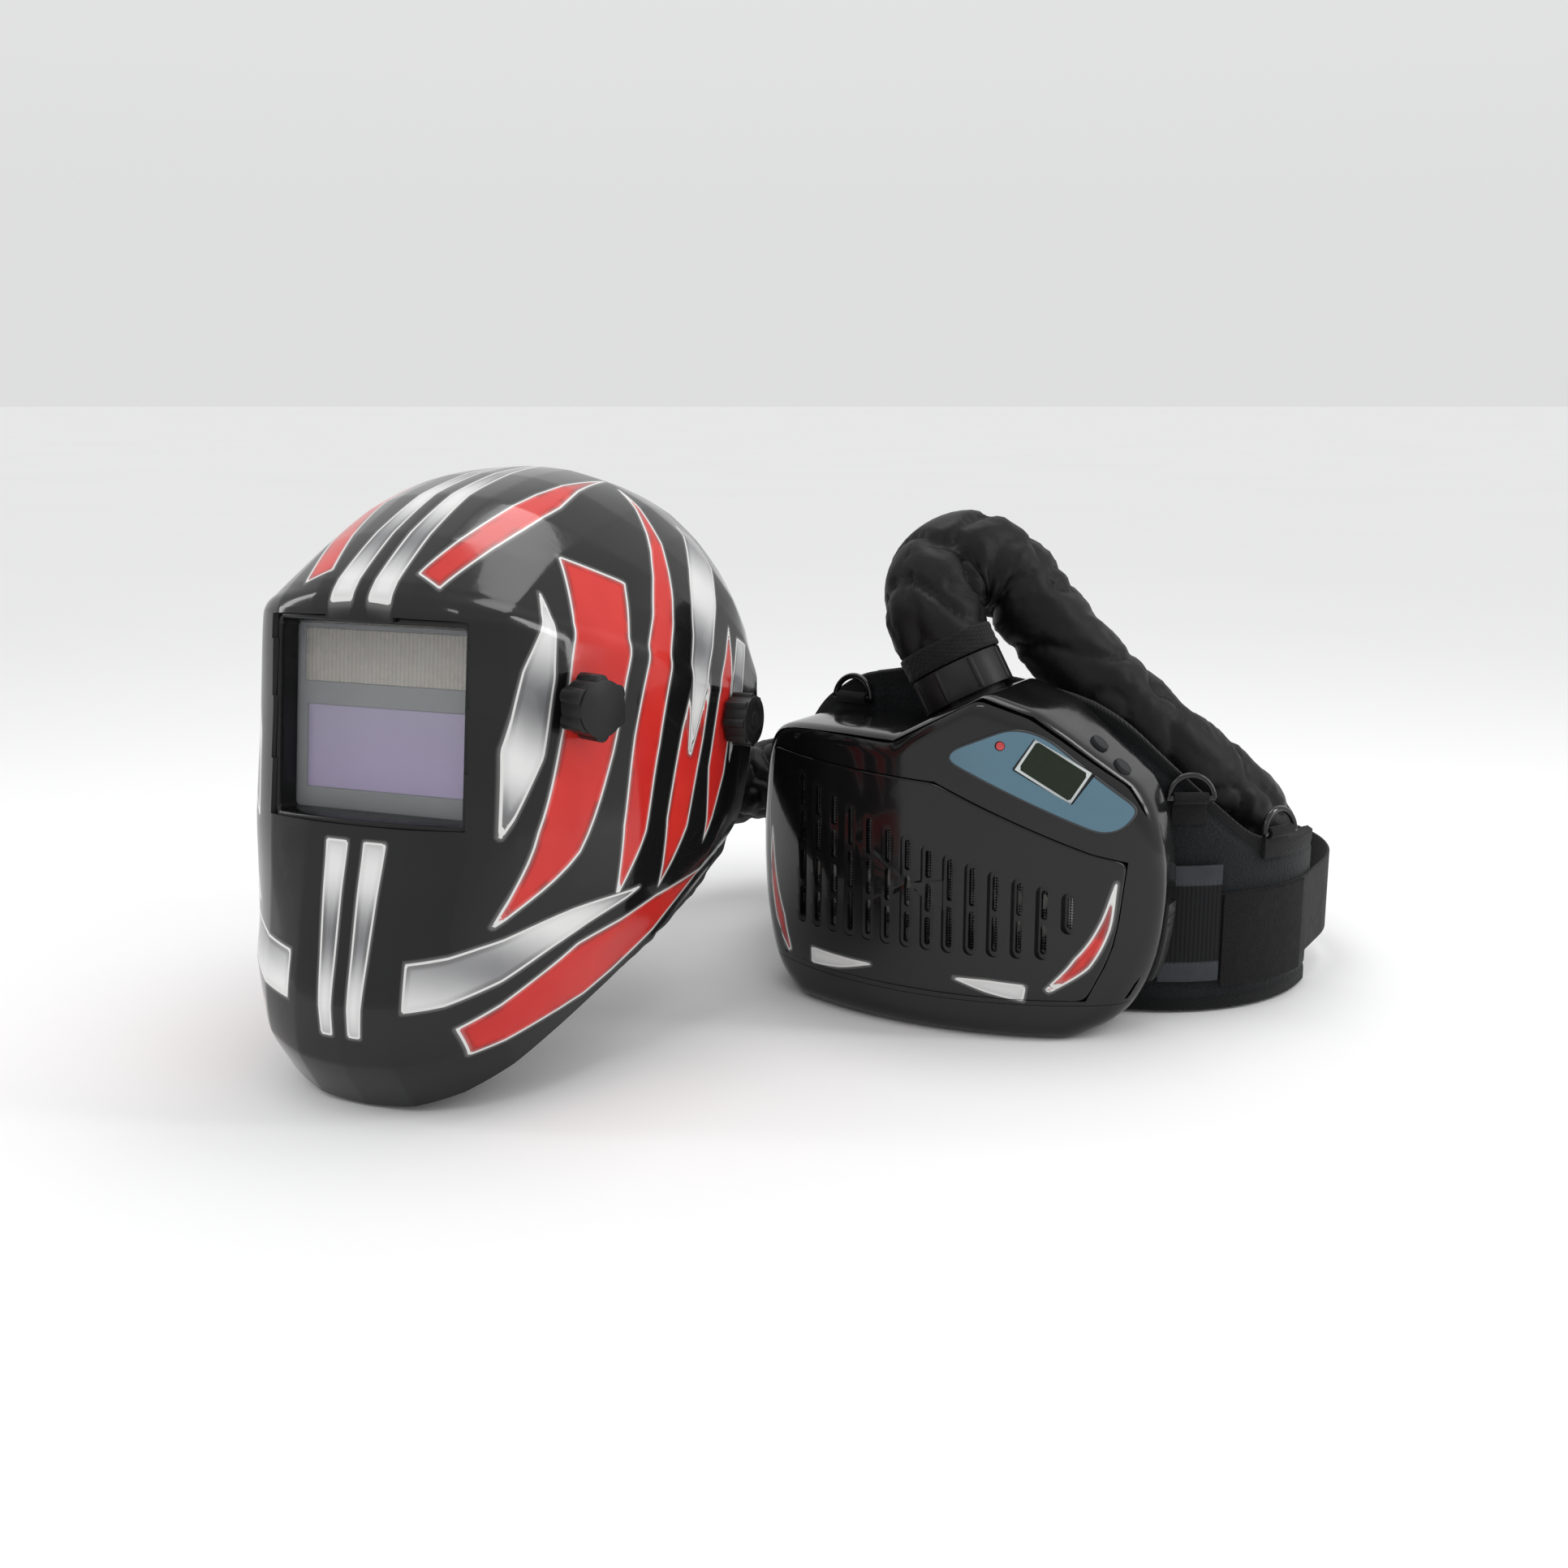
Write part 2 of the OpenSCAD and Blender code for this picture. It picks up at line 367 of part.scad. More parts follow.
// the window's frame: local -Y looks out of the helmet, +Z up the tilted window
module at_window() translate([0,-139.5,194.5]) rotate([-6.7,0,0]) children();
knob_p = [92,-106,203];
module at_knob() translate(knob_p) rotate([0,0,-21]) rotate([0,90,0]) children();
module helmet_shell() color("#18191b") at_helmet() difference() {
  thick_sheet(shell_grid, shell_t);
  at_window() box([-59,-40,-53],[59,9,53]);
  at_knob() cylinder(r=6,h=30,center=true,$fn=32);
  for(s=[-1,1]) translate([s*115,pivot[0],pivot[1]]) rotate([0,90,0]) cylinder(r=5.3,h=24,center=true,$fn=32);
}
// tapered frame from the shell's face back to the window
module lens_bezel() color("#101112") at_helmet() at_window() difference() {
  intersection() { box([-58.6,-26,-52.6],[58.6,0,52.6]); translate([0,168,0]) cylinder(r=188,h=120,center=true,$fn=240); }
  box([-win_w/2,-30,-win_h/2],[win_w/2,1,win_h/2]);
}
module cover_lens() color("#9fb0b8") at_helmet() at_window() box([-57,0.3,-51.5],[57,1.5,51.5]);
module filter_cartridge() color("#6d6f72") at_helmet() at_window() difference() {
  box([-56,2.2,-51],[56,13,51]);
  box([-47.4,1,-37.2],[47.4,5.6,5.8]);
  box([-49.2,1,17.2],[49.2,4.6,44.8]);
  box([-42,9,-34],[42,14,3]);
  for(x=[20,38]) translate([x,14,28]) rotate([90,0,0]) cylinder(r=6.2,h=3.4,$fn=40);
  translate([-36,14,28]) rotate([90,0,0]) cylinder(r=4.3,h=3.4,$fn=40);
}
module filter_glass() color("#8b80a0") at_helmet() at_window() box([-47,2.6,-37],[47,5.4,5.6]);
module solar_cell() color("#8d8778") at_helmet() at_window() box([-49,2.6,17.4],[49,4.4,44.6]);
module small_knob(x) at_helmet() at_window() translate([x,14,28]) rotate([90,0,0]) difference() { union() { translate([0,0,0.2]) cylinder(r=6,h=3,$fn=40); translate([0,0,-3]) cylinder(r=5.6,h=3.4,$fn=40); } box([-0.6,-5,-4],[0.6,5,-1.6]); }
module sensitivity_knob() color("#2a2b2d") small_knob(20);
module delay_knob() color("#2a2b2d") small_knob(38);
module grind_button() color("#b8312b") at_helmet() at_window() translate([-36,14,28]) rotate([90,0,0]) translate([0,0,-2.2]) cylinder(r=4,h=4,$fn=40);
module shade_knob() color("#141517") at_helmet() at_knob() difference() {
  union() {
    translate([0,0,5]) cylinder(r=shade_r-2.5,h=15,$fn=64);
    for(a=[0:60:300]) rotate([0,0,a]) translate([shade_r-4.6,0,5]) cylinder(r=4.6,h=14,$fn=32);
  }
  translate([0,0,4]) cylinder(r=3.1,h=10,$fn=32);
}
module shade_pot() color("#35363a") at_helmet() at_knob() { translate([0,0,-16]) cylinder(r=9,h=9,$fn=48); translate([0,0,-7.2]) cylinder(r=5.6,h=8,$fn=32); cylinder(r=3.05,h=13,$fn=32); }
// cloth seal inside the shell's lower and rear edge: rows run from the shell edge inwards
seal_out = [[109,74,196],[110,74,168],[107,67,142],[104,54,114],[102,38,101],[99,25,91],[99,-12,83],[97,-46,73],[90,-80,61],[78,-110,45],[64,-134,31],[47,-151,20],[24,-160,13],[0,-162,11]];
seal_in = [[99,99,196],[100,101,166],[98,96,136],[96,82,106],[92,64,84],[88,46,70],[84,18,58],[80,-14,48],[72,-44,38],[60,-70,28],[46,-88,20],[30,-100,14],[15,-105,10],[0,-107,9]];
seal_rows = [for(k=[0:3]) let(t=k/3, b=sin(180*t)*6) [for(i=[0:len(seal_out)-1]) seal_out[i]*(1-t)+seal_in[i]*t+[0,0,-b*0.5]+[b*0.4,0,0]*(seal_out[i].x>20?1:0)]];
seal_grid = [for(r=seal_rows) concat([for(p=r) p], [for(i=[len(r)-2:-1:0]) [-r[i].x,r[i].y,r[i].z]])];
module face_seal() color("#141516") at_helmet() thick_sheet(seal_grid, 2);

// ---------- headgear ----------
band_c = 34; band_z = 178;
module ring_band(x,y,t,h) difference() { scale([1,y/x,1]) cylinder(r=x,h=h,$fn=96); translate([0,0,-1]) scale([1,(y-t)/(x-t),1]) cylinder(r=x-t,h=h+2,$fn=96); }
function ell(a,x,y) = [x*cos(a), band_c+y*sin(a)];
// curved band built from its own outline, so that its walls stay simple
module oval_band(x,y,t,h,a0,a1,n) linear_extrude(h) polygon(concat([for(i=[0:n]) ell(a0+(a1-a0)*i/n,x,y)], [for(i=[n:-1:0]) ell(a0+(a1-a0)*i/n,x-t,y-t)]));
module headband() color("#1c1d1f") at_helmet() {
  difference() {
    union() {
      translate([0,0,band_z]) oval_band(band_x,band_y,2.4,band_h,-220,40,44);
      // rear arms that drop to the nape
      for(s=[-1,1]) mirror([s<0?1:0,0,0]) translate([0,0,band_z-26]) oval_band(band_x,band_y,2.4,38,34,62,8);
      // pivot arms
      for(s=[-1,1]) mirror([s<0?1:0,0,0]) box([band_x-2.2,pivot[0]-12,pivot[1]-4],[band_x+14,pivot[0]+12,pivot[1]+18]);
      for(s=[-1,1]) mirror([s<0?1:0,0,0]) translate([band_x+13.9,pivot[0],pivot[1]]) rotate([0,90,0]) cylinder(r=15,h=18.4,$fn=64);
      for(s=[-1,1]) mirror([s<0?1:0,0,0]) translate([band_x+31,pivot[0],pivot[1]]) rotate([0,90,0]) cylinder(r=4.9,h=24,$fn=48);
      // crown strap, side to side
      xz(25,43) polygon(concat([for(i=[0:36]) let(a=4+172*i/36) [band_x*cos(a), 190+90*sin(a)]], [for(i=[36:-1:0]) let(a=4+172*i/36) [(band_x-2)*cos(a), 190+88*sin(a)]]));
    }
  }
}
module sweatband() color("#3a3b3e") at_helmet() translate([0,0,band_z-4]) oval_band(band_x-2.7,band_y-2.7,5,band_h+8,-150,-30,20);
module nape_cradle() color("#1c1d1f") at_helmet() difference() {
  union() {
    translate([0,0,band_z-26]) oval_band(band_x-2.8,band_y-2.8,2.2,20,48,132,20);
    box([-26,band_c+band_y-5,band_z-48],[26,band_c+band_y+5,band_z-18]);
  }
  translate([0,band_c+band_y+8,band_z-33]) rotate([90,0,0]) cylinder(r=3.1,h=30,$fn=32);
}
module ratchet_knob() color("#141517") at_helmet() translate([0,band_c+band_y+6.3,band_z-33]) rotate([-90,0,0]) {
  cylinder(r=15,h=12,$fn=64); for(a=[0:30:330]) rotate([0,0,a]) translate([14.6,0,0]) cylinder(r=1.6,h=11,$fn=16);
  translate([0,0,-6]) cylinder(r=3.05,h=7,$fn=32);
}
module tension_knob(s) color("#121315") at_helmet() mirror([s<0?1:0,0,0]) translate([band_x+41.6,pivot[0],pivot[1]]) rotate([0,90,0]) difference() {
  union() { cylinder(r=13.5,h=13,$fn=64); for(a=[0:45:315]) rotate([0,0,a]) translate([12.6,0,0]) cylinder(r=2.6,h=12,$fn=24); }
  translate([0,0,-1]) cylinder(r=4.95,h=18,$fn=48);
}
// extrudes a YZ outline from x0 to x1
module yz(x0,x1) translate([x0,0,0]) rotate([90,0,90]) linear_extrude(x1-x0) children();
function duct_arc(r,a0,a1,n) = [for(i=[0:n]) let(a=a0+(a1-a0)*i/n) [pivot[0]+r*cos(a), pivot[1]+r*sin(a)]];
module air_duct() color("#232427") at_helmet() difference() {
  union() {
    yz(-30,30) polygon(concat(duct_arc(duct_r,11,157,60), rev(duct_arc(duct_r-12,11,157,60))));
    // socket for the hose
    yz(-22,22) polygon([[128.8,202.1],[130,196.6],[142.4,177.4],[145.3,174.6],[176.4,205.7],[173.6,208.6],[140.4,205]]);
    translate([0,158,193]) rotate([-135,0,0]) cylinder(r=20,h=26,$fn=64);
  }
  yz(-28,28) polygon(concat(duct_arc(duct_r-2,14.5,164,60), rev(duct_arc(duct_r-10,14.5,164,60))));
  translate([0,154,197]) rotate([-135,0,0]) cylinder(r=17.6,h=40,$fn=64);
}

rear_housing();
front_housing();
filter_cover();
spark_arrestor();
prefilter();
particle_filter();
filter_gasket();
inner_chassis();
fan_volute();
impeller();
fan_motor();
outlet_port();
control_board();
display_module();
control_panel();
alarm_light();
power_button();
airflow_button();
battery_case();
battery_cells();
battery_contacts();
cover_latch(-1);  // cover_latch_left
cover_latch(1);  // cover_latch_right
belt_plate();
housing_screws();
hose_collar();
hose_sleeve();
breathing_hose();
cuff_blower();
cuff_helmet();
waist_pad();
webbing(-1);  // webbing_left
webbing(1);  // webbing_right
belt_panels();
hook_panels();
buckle_female();
buckle_male();
d_ring_left();
d_ring_middle();
d_ring_right();
d_ring_tabs();
helmet_shell();
lens_bezel();
cover_lens();
filter_cartridge();
filter_glass();
solar_cell();
shade_knob();
shade_pot();
sensitivity_knob();
delay_knob();
grind_button();
face_seal();
headband();
sweatband();
nape_cradle();
ratchet_knob();
tension_knob(1);  // tension_knob_left
tension_knob(-1);  // tension_knob_right
air_duct();
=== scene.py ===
import json
import math
import bpy
import bmesh
import numpy as np
from mathutils import Vector, Matrix, noise


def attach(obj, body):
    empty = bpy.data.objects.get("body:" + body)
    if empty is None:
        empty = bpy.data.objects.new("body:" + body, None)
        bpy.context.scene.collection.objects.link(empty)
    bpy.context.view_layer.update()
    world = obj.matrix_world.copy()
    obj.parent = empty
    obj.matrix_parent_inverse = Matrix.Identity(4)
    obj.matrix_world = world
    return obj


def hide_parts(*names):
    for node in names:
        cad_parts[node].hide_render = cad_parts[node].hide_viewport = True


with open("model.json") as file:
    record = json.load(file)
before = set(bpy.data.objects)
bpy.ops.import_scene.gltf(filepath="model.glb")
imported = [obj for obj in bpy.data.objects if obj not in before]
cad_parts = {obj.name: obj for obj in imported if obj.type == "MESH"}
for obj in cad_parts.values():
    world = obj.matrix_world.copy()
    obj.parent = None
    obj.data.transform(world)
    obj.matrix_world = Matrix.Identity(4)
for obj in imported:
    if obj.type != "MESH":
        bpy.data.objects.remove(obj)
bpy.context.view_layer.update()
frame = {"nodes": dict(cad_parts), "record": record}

S = bpy.context.scene
MM = 0.001
ROOT = "blower_belt_headgear"

# ------------------------------------------------------------------ camera
cd = bpy.data.cameras.new("camera")
cd.lens, cd.sensor_width = 41.1, 36.0
cd.clip_start, cd.clip_end = 0.02, 50
cam = bpy.data.objects.new("camera", cd)
S.collection.objects.link(cam)
cam.location = (0.4349, -0.9316, 0.355)
cam.rotation_euler = (math.radians(77.7), 0, math.radians(30.6))
S.camera = cam


# ------------------------------------------------------------------ curve helpers, as in the CAD source
def cr(a, b, c, d, t):
    return ((2 * b) + (c - a) * t + (2 * a - 5 * b + 4 * c - d) * t * t + (3 * b - a - 3 * c + d) * t ** 3) / 2


def cr_open(p, n, mirror=False):
    p = np.array(p, float)
    first = p[1] * np.array([-1] + [1] * (p.shape[1] - 1)) if mirror else 2 * p[0] - p[1]
    q = np.vstack([first, p, 2 * p[-1] - p[-2]])
    out = []
    for i in range(len(p) - 1):
        for k in range(n):
            out.append(cr(q[i], q[i + 1], q[i + 2], q[i + 3], k / n))
    out.append(p[-1])
    return np.array(out)


def resample(p, step, closed=False):
    p = np.array(p, float)
    if closed:
        p = np.vstack([p, p[:1]])
    d = np.r_[0, np.cumsum(np.linalg.norm(np.diff(p, axis=0), axis=1))]
    n = max(3, int(round(d[-1] / step)))
    t = np.linspace(0, d[-1], n + 1)
    q = np.stack([np.interp(t, d, p[:, k]) for k in range(p.shape[1])], 1)
    return q[:-1] if closed else q


def smooth_closed(p, times, w=0.5):
    for _ in range(times):
        p = p * (1 - w) + w * (np.roll(p, 1, 0) + np.roll(p, -1, 0)) / 2
    return p


def sdf(P, poly):
    """Signed distance to a closed outline, negative inside."""
    P = np.asarray(P, float)
    A = np.array(poly, float)
    B = np.roll(A, -1, 0)
    d = np.full(len(P), 1e18)
    ins = np.zeros(len(P), bool)
    for a, b in zip(A, B):
        e = b - a
        w = P - a
        t = np.clip((w @ e) / max(e @ e, 1e-12), 0, 1)
        q = w - t[:, None] * e
        d = np.minimum(d, (q ** 2).sum(1))
        c = ((a[1] > P[:, 1]) != (b[1] > P[:, 1])) & (P[:, 0] < (b[0] - a[0]) * (P[:, 1] - a[1]) / ((b[1] - a[1]) or 1e-12) + a[0])
        ins ^= c
    d = np.sqrt(d)
    return np.where(ins, -d, d)


def blade(line, widths, n=6):
    """A pointed streak along a line, as a closed outline."""
    c = cr_open(line, n)
    w = np.interp(np.linspace(0, len(widths) - 1, len(c)), np.arange(len(widths)), widths)
    t = np.gradient(c, axis=0)
    t /= np.linalg.norm(t, axis=1)[:, None]
    nn = np.stack([-t[:, 1], t[:, 0]], 1)
    return np.vstack([c + nn * w[:, None], (c - nn * w[:, None])[::-1]])


def link(ob):
    S.collection.objects.link(ob)
    return ob


def make(name, verts, faces, mats=(), smooth=True, mm=True):
    me = bpy.data.meshes.new(name)
    v = np.asarray(verts, float) * (MM if mm else 1)
    me.from_pydata([tuple(map(float, x)) for x in v], [], [tuple(int(i) for i in f) for f in faces])
    me.validate()
    for m in mats:
        me.materials.append(m)
    if smooth:
        me.shade_smooth()
    me.update()
    return link(bpy.data.objects.new(name, me))


def put_attr(ob, name, vals):
    a = ob.data.attributes.get(name) or ob.data.attributes.new(name, "FLOAT", "POINT")
    a.data.foreach_set("value", np.asarray(vals, np.float32))


def coords(ob):
    co = np.zeros(len(ob.data.vertices) * 3)
    ob.data.vertices.foreach_get("co", co)
    return co.reshape(-1, 3) / MM


def apply_mods(ob):
    dg = bpy.context.evaluated_depsgraph_get()
    me = bpy.data.meshes.new_from_object(ob.evaluated_get(dg), preserve_all_data_layers=True, depsgraph=dg)
    old = ob.data
    ob.modifiers.clear()
    ob.data = me
    me.name = ob.name
    bpy.data.meshes.remove(old)
    return ob


def boolean(ob, cutter, op="DIFFERENCE", keep=False):
    m = ob.modifiers.new("b", "BOOLEAN")
    m.operation, m.object, m.solver = op, cutter, "EXACT"
    bpy.context.view_layer.update()
    apply_mods(ob)
    if not keep:
        bpy.data.objects.remove(cutter)
    return ob


def sharp_by_angle(ob, deg=35):
    me = ob.data
    bm = bmesh.new()
    bm.from_mesh(me)
    lim = math.radians(deg)
    for f in bm.faces:
        f.smooth = True
    for e in bm.edges:
        e.smooth = not (len(e.link_faces) == 2 and e.calc_face_angle(0) > lim)
    bm.to_mesh(me)
    bm.free()
    me.update()
    return ob


def tidy_copy(node, name=None):
    """A welded copy of a CAD node's mesh, with the flat faces whole again."""
    src = frame["nodes"][node]
    bm = bmesh.new()
    bm.from_mesh(src.data)
    bmesh.ops.remove_doubles(bm, verts=bm.verts, dist=1e-6)
    bmesh.ops.dissolve_degenerate(bm, edges=bm.edges, dist=1e-6)
    me = bpy.data.meshes.new(name or node + "_look")
    bm.to_mesh(me)
    bm.free()
    return link(bpy.data.objects.new(name or node + "_look", me))


def soften(node, mat, width=0.5, segs=2, angle=32, body=None):
    """The CAD shape with its sharp edges rounded by a small radius, standing for the node."""
    ob = tidy_copy(node)
    bm = bmesh.new()
    bm.from_mesh(ob.data)
    bmesh.ops.dissolve_limit(bm, angle_limit=math.radians(1.0), verts=bm.verts, edges=bm.edges)
    bm.to_mesh(ob.data)
    bm.free()
    ob.data.materials.clear()
    ob.data.materials.append(mat)
    m = ob.modifiers.new("bevel", "BEVEL")
    m.width, m.segments, m.limit_method, m.angle_limit = width * MM, segs, "ANGLE", math.radians(angle)
    m.use_clamp_overlap = True
    m.harden_normals = False
    apply_mods(ob)
    sharp_by_angle(ob, 38)
    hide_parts(node)
    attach(ob, body or BODY[node])
    return ob


BODY = {n: b for b, ns in frame["record"]["behaviour"]["bodies"].items() for n in ns}


def finish_piece(ob, node, *more):
    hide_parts(node, *more)
    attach(ob, BODY[node])
    return ob


# ------------------------------------------------------------------ materials
class Mat:
    def __init__(s, name):
        s.m = bpy.data.materials.new(name)
        s.m.use_nodes = True
        s.t = s.m.node_tree
        s.t.nodes.clear()
        s.out = s.n("ShaderNodeOutputMaterial")
        s.b = s.n("ShaderNodeBsdfPrincipled")
        s.t.links.new(s.b.outputs[0], s.out.inputs[0])
        s.h = None

    def n(s, kind, **k):
        x = s.t.nodes.new(kind)
        for a, b in k.items():
            setattr(x, a, b)
        return x

    def wire(s, sock, v):
        if isinstance(v, bpy.types.NodeSocket):
            s.t.links.new(v, sock)
        elif v is not None:
            sock.default_value = v

    def math(s, op, a, b=None, c=None, clamp=False):
        x = s.n("ShaderNodeMath", operation=op, use_clamp=clamp)
        for i, v in enumerate((a, b, c)):
            if v is not None:
                s.wire(x.inputs[i], v)
        return x.outputs[0]

    def step(s, x, lo, hi, a=0.0, b=1.0):
        r = s.n("ShaderNodeMapRange", interpolation_type="SMOOTHSTEP")
        s.wire(r.inputs[0], x)
        for i, v in zip((1, 2, 3, 4), (lo, hi, a, b)):
            r.inputs[i].default_value = v
        return r.outputs[0]

    def lin(s, x, lo, hi, a=0.0, b=1.0):
        r = s.n("ShaderNodeMapRange")
        s.wire(r.inputs[0], x)
        for i, v in zip((1, 2, 3, 4), (lo, hi, a, b)):
            r.inputs[i].default_value = v
        return r.outputs[0]

    def mix(s, f, a, b):
        x = s.n("ShaderNodeMix", data_type="RGBA")
        s.wire(x.inputs[0], f)
        for i, v in ((6, a), (7, b)):
            s.wire(x.inputs[i], tuple(v) + (1.0,) if isinstance(v, (tuple, list)) and len(v) == 3 else v)
        return x.outputs[2]

    def co(s):
        return s.n("ShaderNodeTexCoord").outputs["Object"]

    def noise(s, scale, detail=2.0, rough=0.5, vec=None, dist=0.0):
        x = s.n("ShaderNodeTexNoise")
        s.wire(x.inputs["Vector"], vec or s.co())
        x.inputs["Scale"].default_value = scale
        x.inputs["Detail"].default_value = detail
        x.inputs["Roughness"].default_value = rough
        x.inputs["Distortion"].default_value = dist
        return x.outputs["Fac"]

    def attr(s, name):
        return s.n("ShaderNodeAttribute", attribute_name=name).outputs["Fac"]

    def xyz(s):
        x = s.n("ShaderNodeSeparateXYZ")
        s.wire(x.inputs[0], s.co())
        return x.outputs

    def sine(s, x, period_mm, phase=0.0):
        """A wave from 0 to 1 along x, where x is in millimetres."""
        y = s.math("MULTIPLY_ADD", x, 2 * math.pi / period_mm, phase)
        return s.math("MULTIPLY_ADD", s.math("SINE", y), 0.5, 0.5)

    def bump(s, height, dist_mm, strength=1.0):
        x = s.n("ShaderNodeBump")
        x.inputs["Strength"].default_value = strength
        x.inputs["Distance"].default_value = dist_mm * MM
        s.wire(x.inputs["Height"], height)
        if s.h is not None:
            s.wire(x.inputs["Normal"], s.h)
        s.h = x.outputs[0]
        s.wire(s.b.inputs["Normal"], s.h)
        return s

    def set(s, **k):
        names = {"color": "Base Color", "rough": "Roughness", "metal": "Metallic", "coat": "Coat Weight", "coat_rough": "Coat Roughness",
                 "sheen": "Sheen Weight", "sheen_rough": "Sheen Roughness", "spec": "Specular IOR Level", "ior": "IOR", "alpha": "Alpha",
                 "emit": "Emission Color", "emit_s": "Emission Strength", "trans": "Transmission Weight"}
        for a, v in k.items():
            if isinstance(v, (tuple, list)) and len(v) == 3:
                v = tuple(v) + (1.0,)
            s.wire(s.b.inputs[names[a]], v)
        return s


def scl(c, f):
    return tuple(min(1.0, x * f) for x in c)


def gloss(name, c, rough=0.12, coat=0.2, wear=0.25, peel=0.05):
    m = Mat(name)
    n1, n2 = m.noise(9, 3), m.noise(55, 4)
    m.set(color=m.mix(m.lin(n1, 0.35, 0.65), scl(c, 1 - wear * 0.5), scl(c, 1 + wear)),
          rough=m.lin(n2, 0.3, 0.7, rough * 0.75, rough * 1.45), coat=coat, coat_rough=0.05, spec=0.24)
    m.bump(m.noise(420, 2), peel)
    return m


def matte(name, c, rough=0.55, grain=0.08, wear=0.3, scale=1500):
    m = Mat(name)
    n1, n2 = m.noise(14, 3), m.noise(scale, 2)
    m.set(color=m.mix(m.lin(n1, 0.3, 0.7), scl(c, 1 - wear * 0.6), scl(c, 1 + wear)),
          rough=m.lin(m.noise(80, 4), 0.3, 0.7, rough * 0.85, rough * 1.15), spec=0.3)
    m.bump(n2, grain)
    return m


def metal(name, c, rough=0.32, brush=0.04):
    m = Mat(name)
    mp = m.n("ShaderNodeMapping")
    m.wire(mp.inputs[0], m.co())
    mp.inputs["Scale"].default_value = (1, 12, 1)
    n = m.noise(220, 3, vec=mp.outputs[0])
    m.set(color=m.mix(m.lin(n, 0.3, 0.7), scl(c, 0.8), scl(c, 1.1)), rough=m.lin(n, 0.3, 0.7, rough * 0.8, rough * 1.3), metal=1.0)
    m.bump(n, brush)
    return m


def cloth(name, c, period=1.1, depth=0.25, rough=0.85, sheen=0.25, uv=True, twill=False, vary=0.35, wear_scale=18):
    """Woven cloth. uv: the mesh has the attributes pu and pv, its own run and width in millimetres."""
    m = Mat(name)
    if uv:
        u, v = m.attr("pu"), m.attr("pv")
    else:
        x = m.xyz()
        u = m.math("MULTIPLY", m.math("ADD", x[0], x[1]), 1000.0)
        v = m.math("MULTIPLY", x[2], 1000.0)
    if twill:
        a = m.sine(m.math("ADD", u, v), period)
        b = m.sine(v, period * 0.5)
        w = m.math("MULTIPLY", a, m.math("MULTIPLY_ADD", b, 0.5, 0.5))
    else:
        a, b = m.sine(u, period), m.sine(v, period)
        k = m.math("GREATER_THAN", m.math("MULTIPLY", m.math("SUBTRACT", m.sine(u, period * 2), 0.5), m.math("SUBTRACT", m.sine(v, period * 2), 0.5)), 0.0)
        w = m.math("ADD", m.math("MULTIPLY", a, k), m.math("MULTIPLY", b, m.math("SUBTRACT", 1.0, k)))
    blot = m.noise(wear_scale, 4)
    tone = m.math("ADD", m.math("MULTIPLY", w, 0.55), m.math("MULTIPLY", blot, 0.45))
    m.set(color=m.mix(m.lin(tone, 0.2, 0.8), scl(c, 1 - vary), scl(c, 1 + vary)), rough=m.lin(m.noise(150, 3), 0.3, 0.7, rough * 0.92, min(1, rough * 1.08)),
          sheen=sheen, sheen_rough=0.45, spec=0.25)
    m.bump(w, depth, 0.8).bump(m.noise(260, 3), depth * 0.8, 0.5)
    return m


BLACK = (0.0060, 0.0061, 0.0066)
M = {}
M["case"] = gloss("case_gloss", BLACK, 0.10, 0.3)
M["bezel"] = gloss("bezel_gloss", (0.0055, 0.0057, 0.006), 0.2, 0.15)
M["inner"] = matte("shell_inside", (0.016, 0.016, 0.018), 0.5, 0.06)
M["plastic"] = matte("moulded_plastic", (0.0095, 0.0095, 0.0105), 0.42, 0.07)
M["knob"] = matte("knob_plastic", (0.0075, 0.0075, 0.008), 0.38, 0.05)
M["innerplastic"] = matte("inner_moulding", (0.045, 0.046, 0.050), 0.5, 0.06)
M["button"] = matte("button_rubber", (0.014, 0.0145, 0.016), 0.6, 0.05)
M["rubber"] = matte("gasket_rubber", (0.020, 0.020, 0.021), 0.72, 0.08)
M["steel"] = metal("steel", (0.55, 0.56, 0.58))
M["motor"] = metal("motor_can", (0.32, 0.33, 0.35), 0.38)
M["brass"] = metal("contact_brass", (0.78, 0.58, 0.24), 0.28)
M["impeller"] = matte("impeller_moulding", (0.62, 0.62, 0.58), 0.45, 0.04, 0.1)
M["ring"] = gloss("ring_gloss", (0.006, 0.006, 0.0065), 0.14, 0.5)
M["buckle"] = gloss("buckle_gloss", (0.012, 0.012, 0.013), 0.24, 0.3)
M["collar"] = matte("collar_plastic", (0.0075, 0.0075, 0.0085), 0.4, 0.06)
M["webbing"] = cloth("webbing_weave", (0.0055, 0.0055, 0.0065), 1.6, 0.35, 0.8, 0.08, twill=True)
M["tabs"] = cloth("tab_weave", (0.0055, 0.0055, 0.0065), 1.5, 0.3, 0.8, 0.08, uv=False, twill=True)
M["hook"] = cloth("hook_panel_pile", (0.0038, 0.0038, 0.0045), 0.9, 0.5, 0.95, 0.05)
M["towel"] = cloth("sweatband_cloth", (0.022, 0.023, 0.026), 1.8, 0.5, 0.95, 0.4)
M["seal"] = cloth("seal_cloth", (0.0085, 0.009, 0.0105), 0.9, 0.2, 0.85, 0.12)
M["cuff"] = cloth("cuff_elastic", (0.0055, 0.0055, 0.006), 2.2, 0.5, 0.82, 0.06, uv=False)


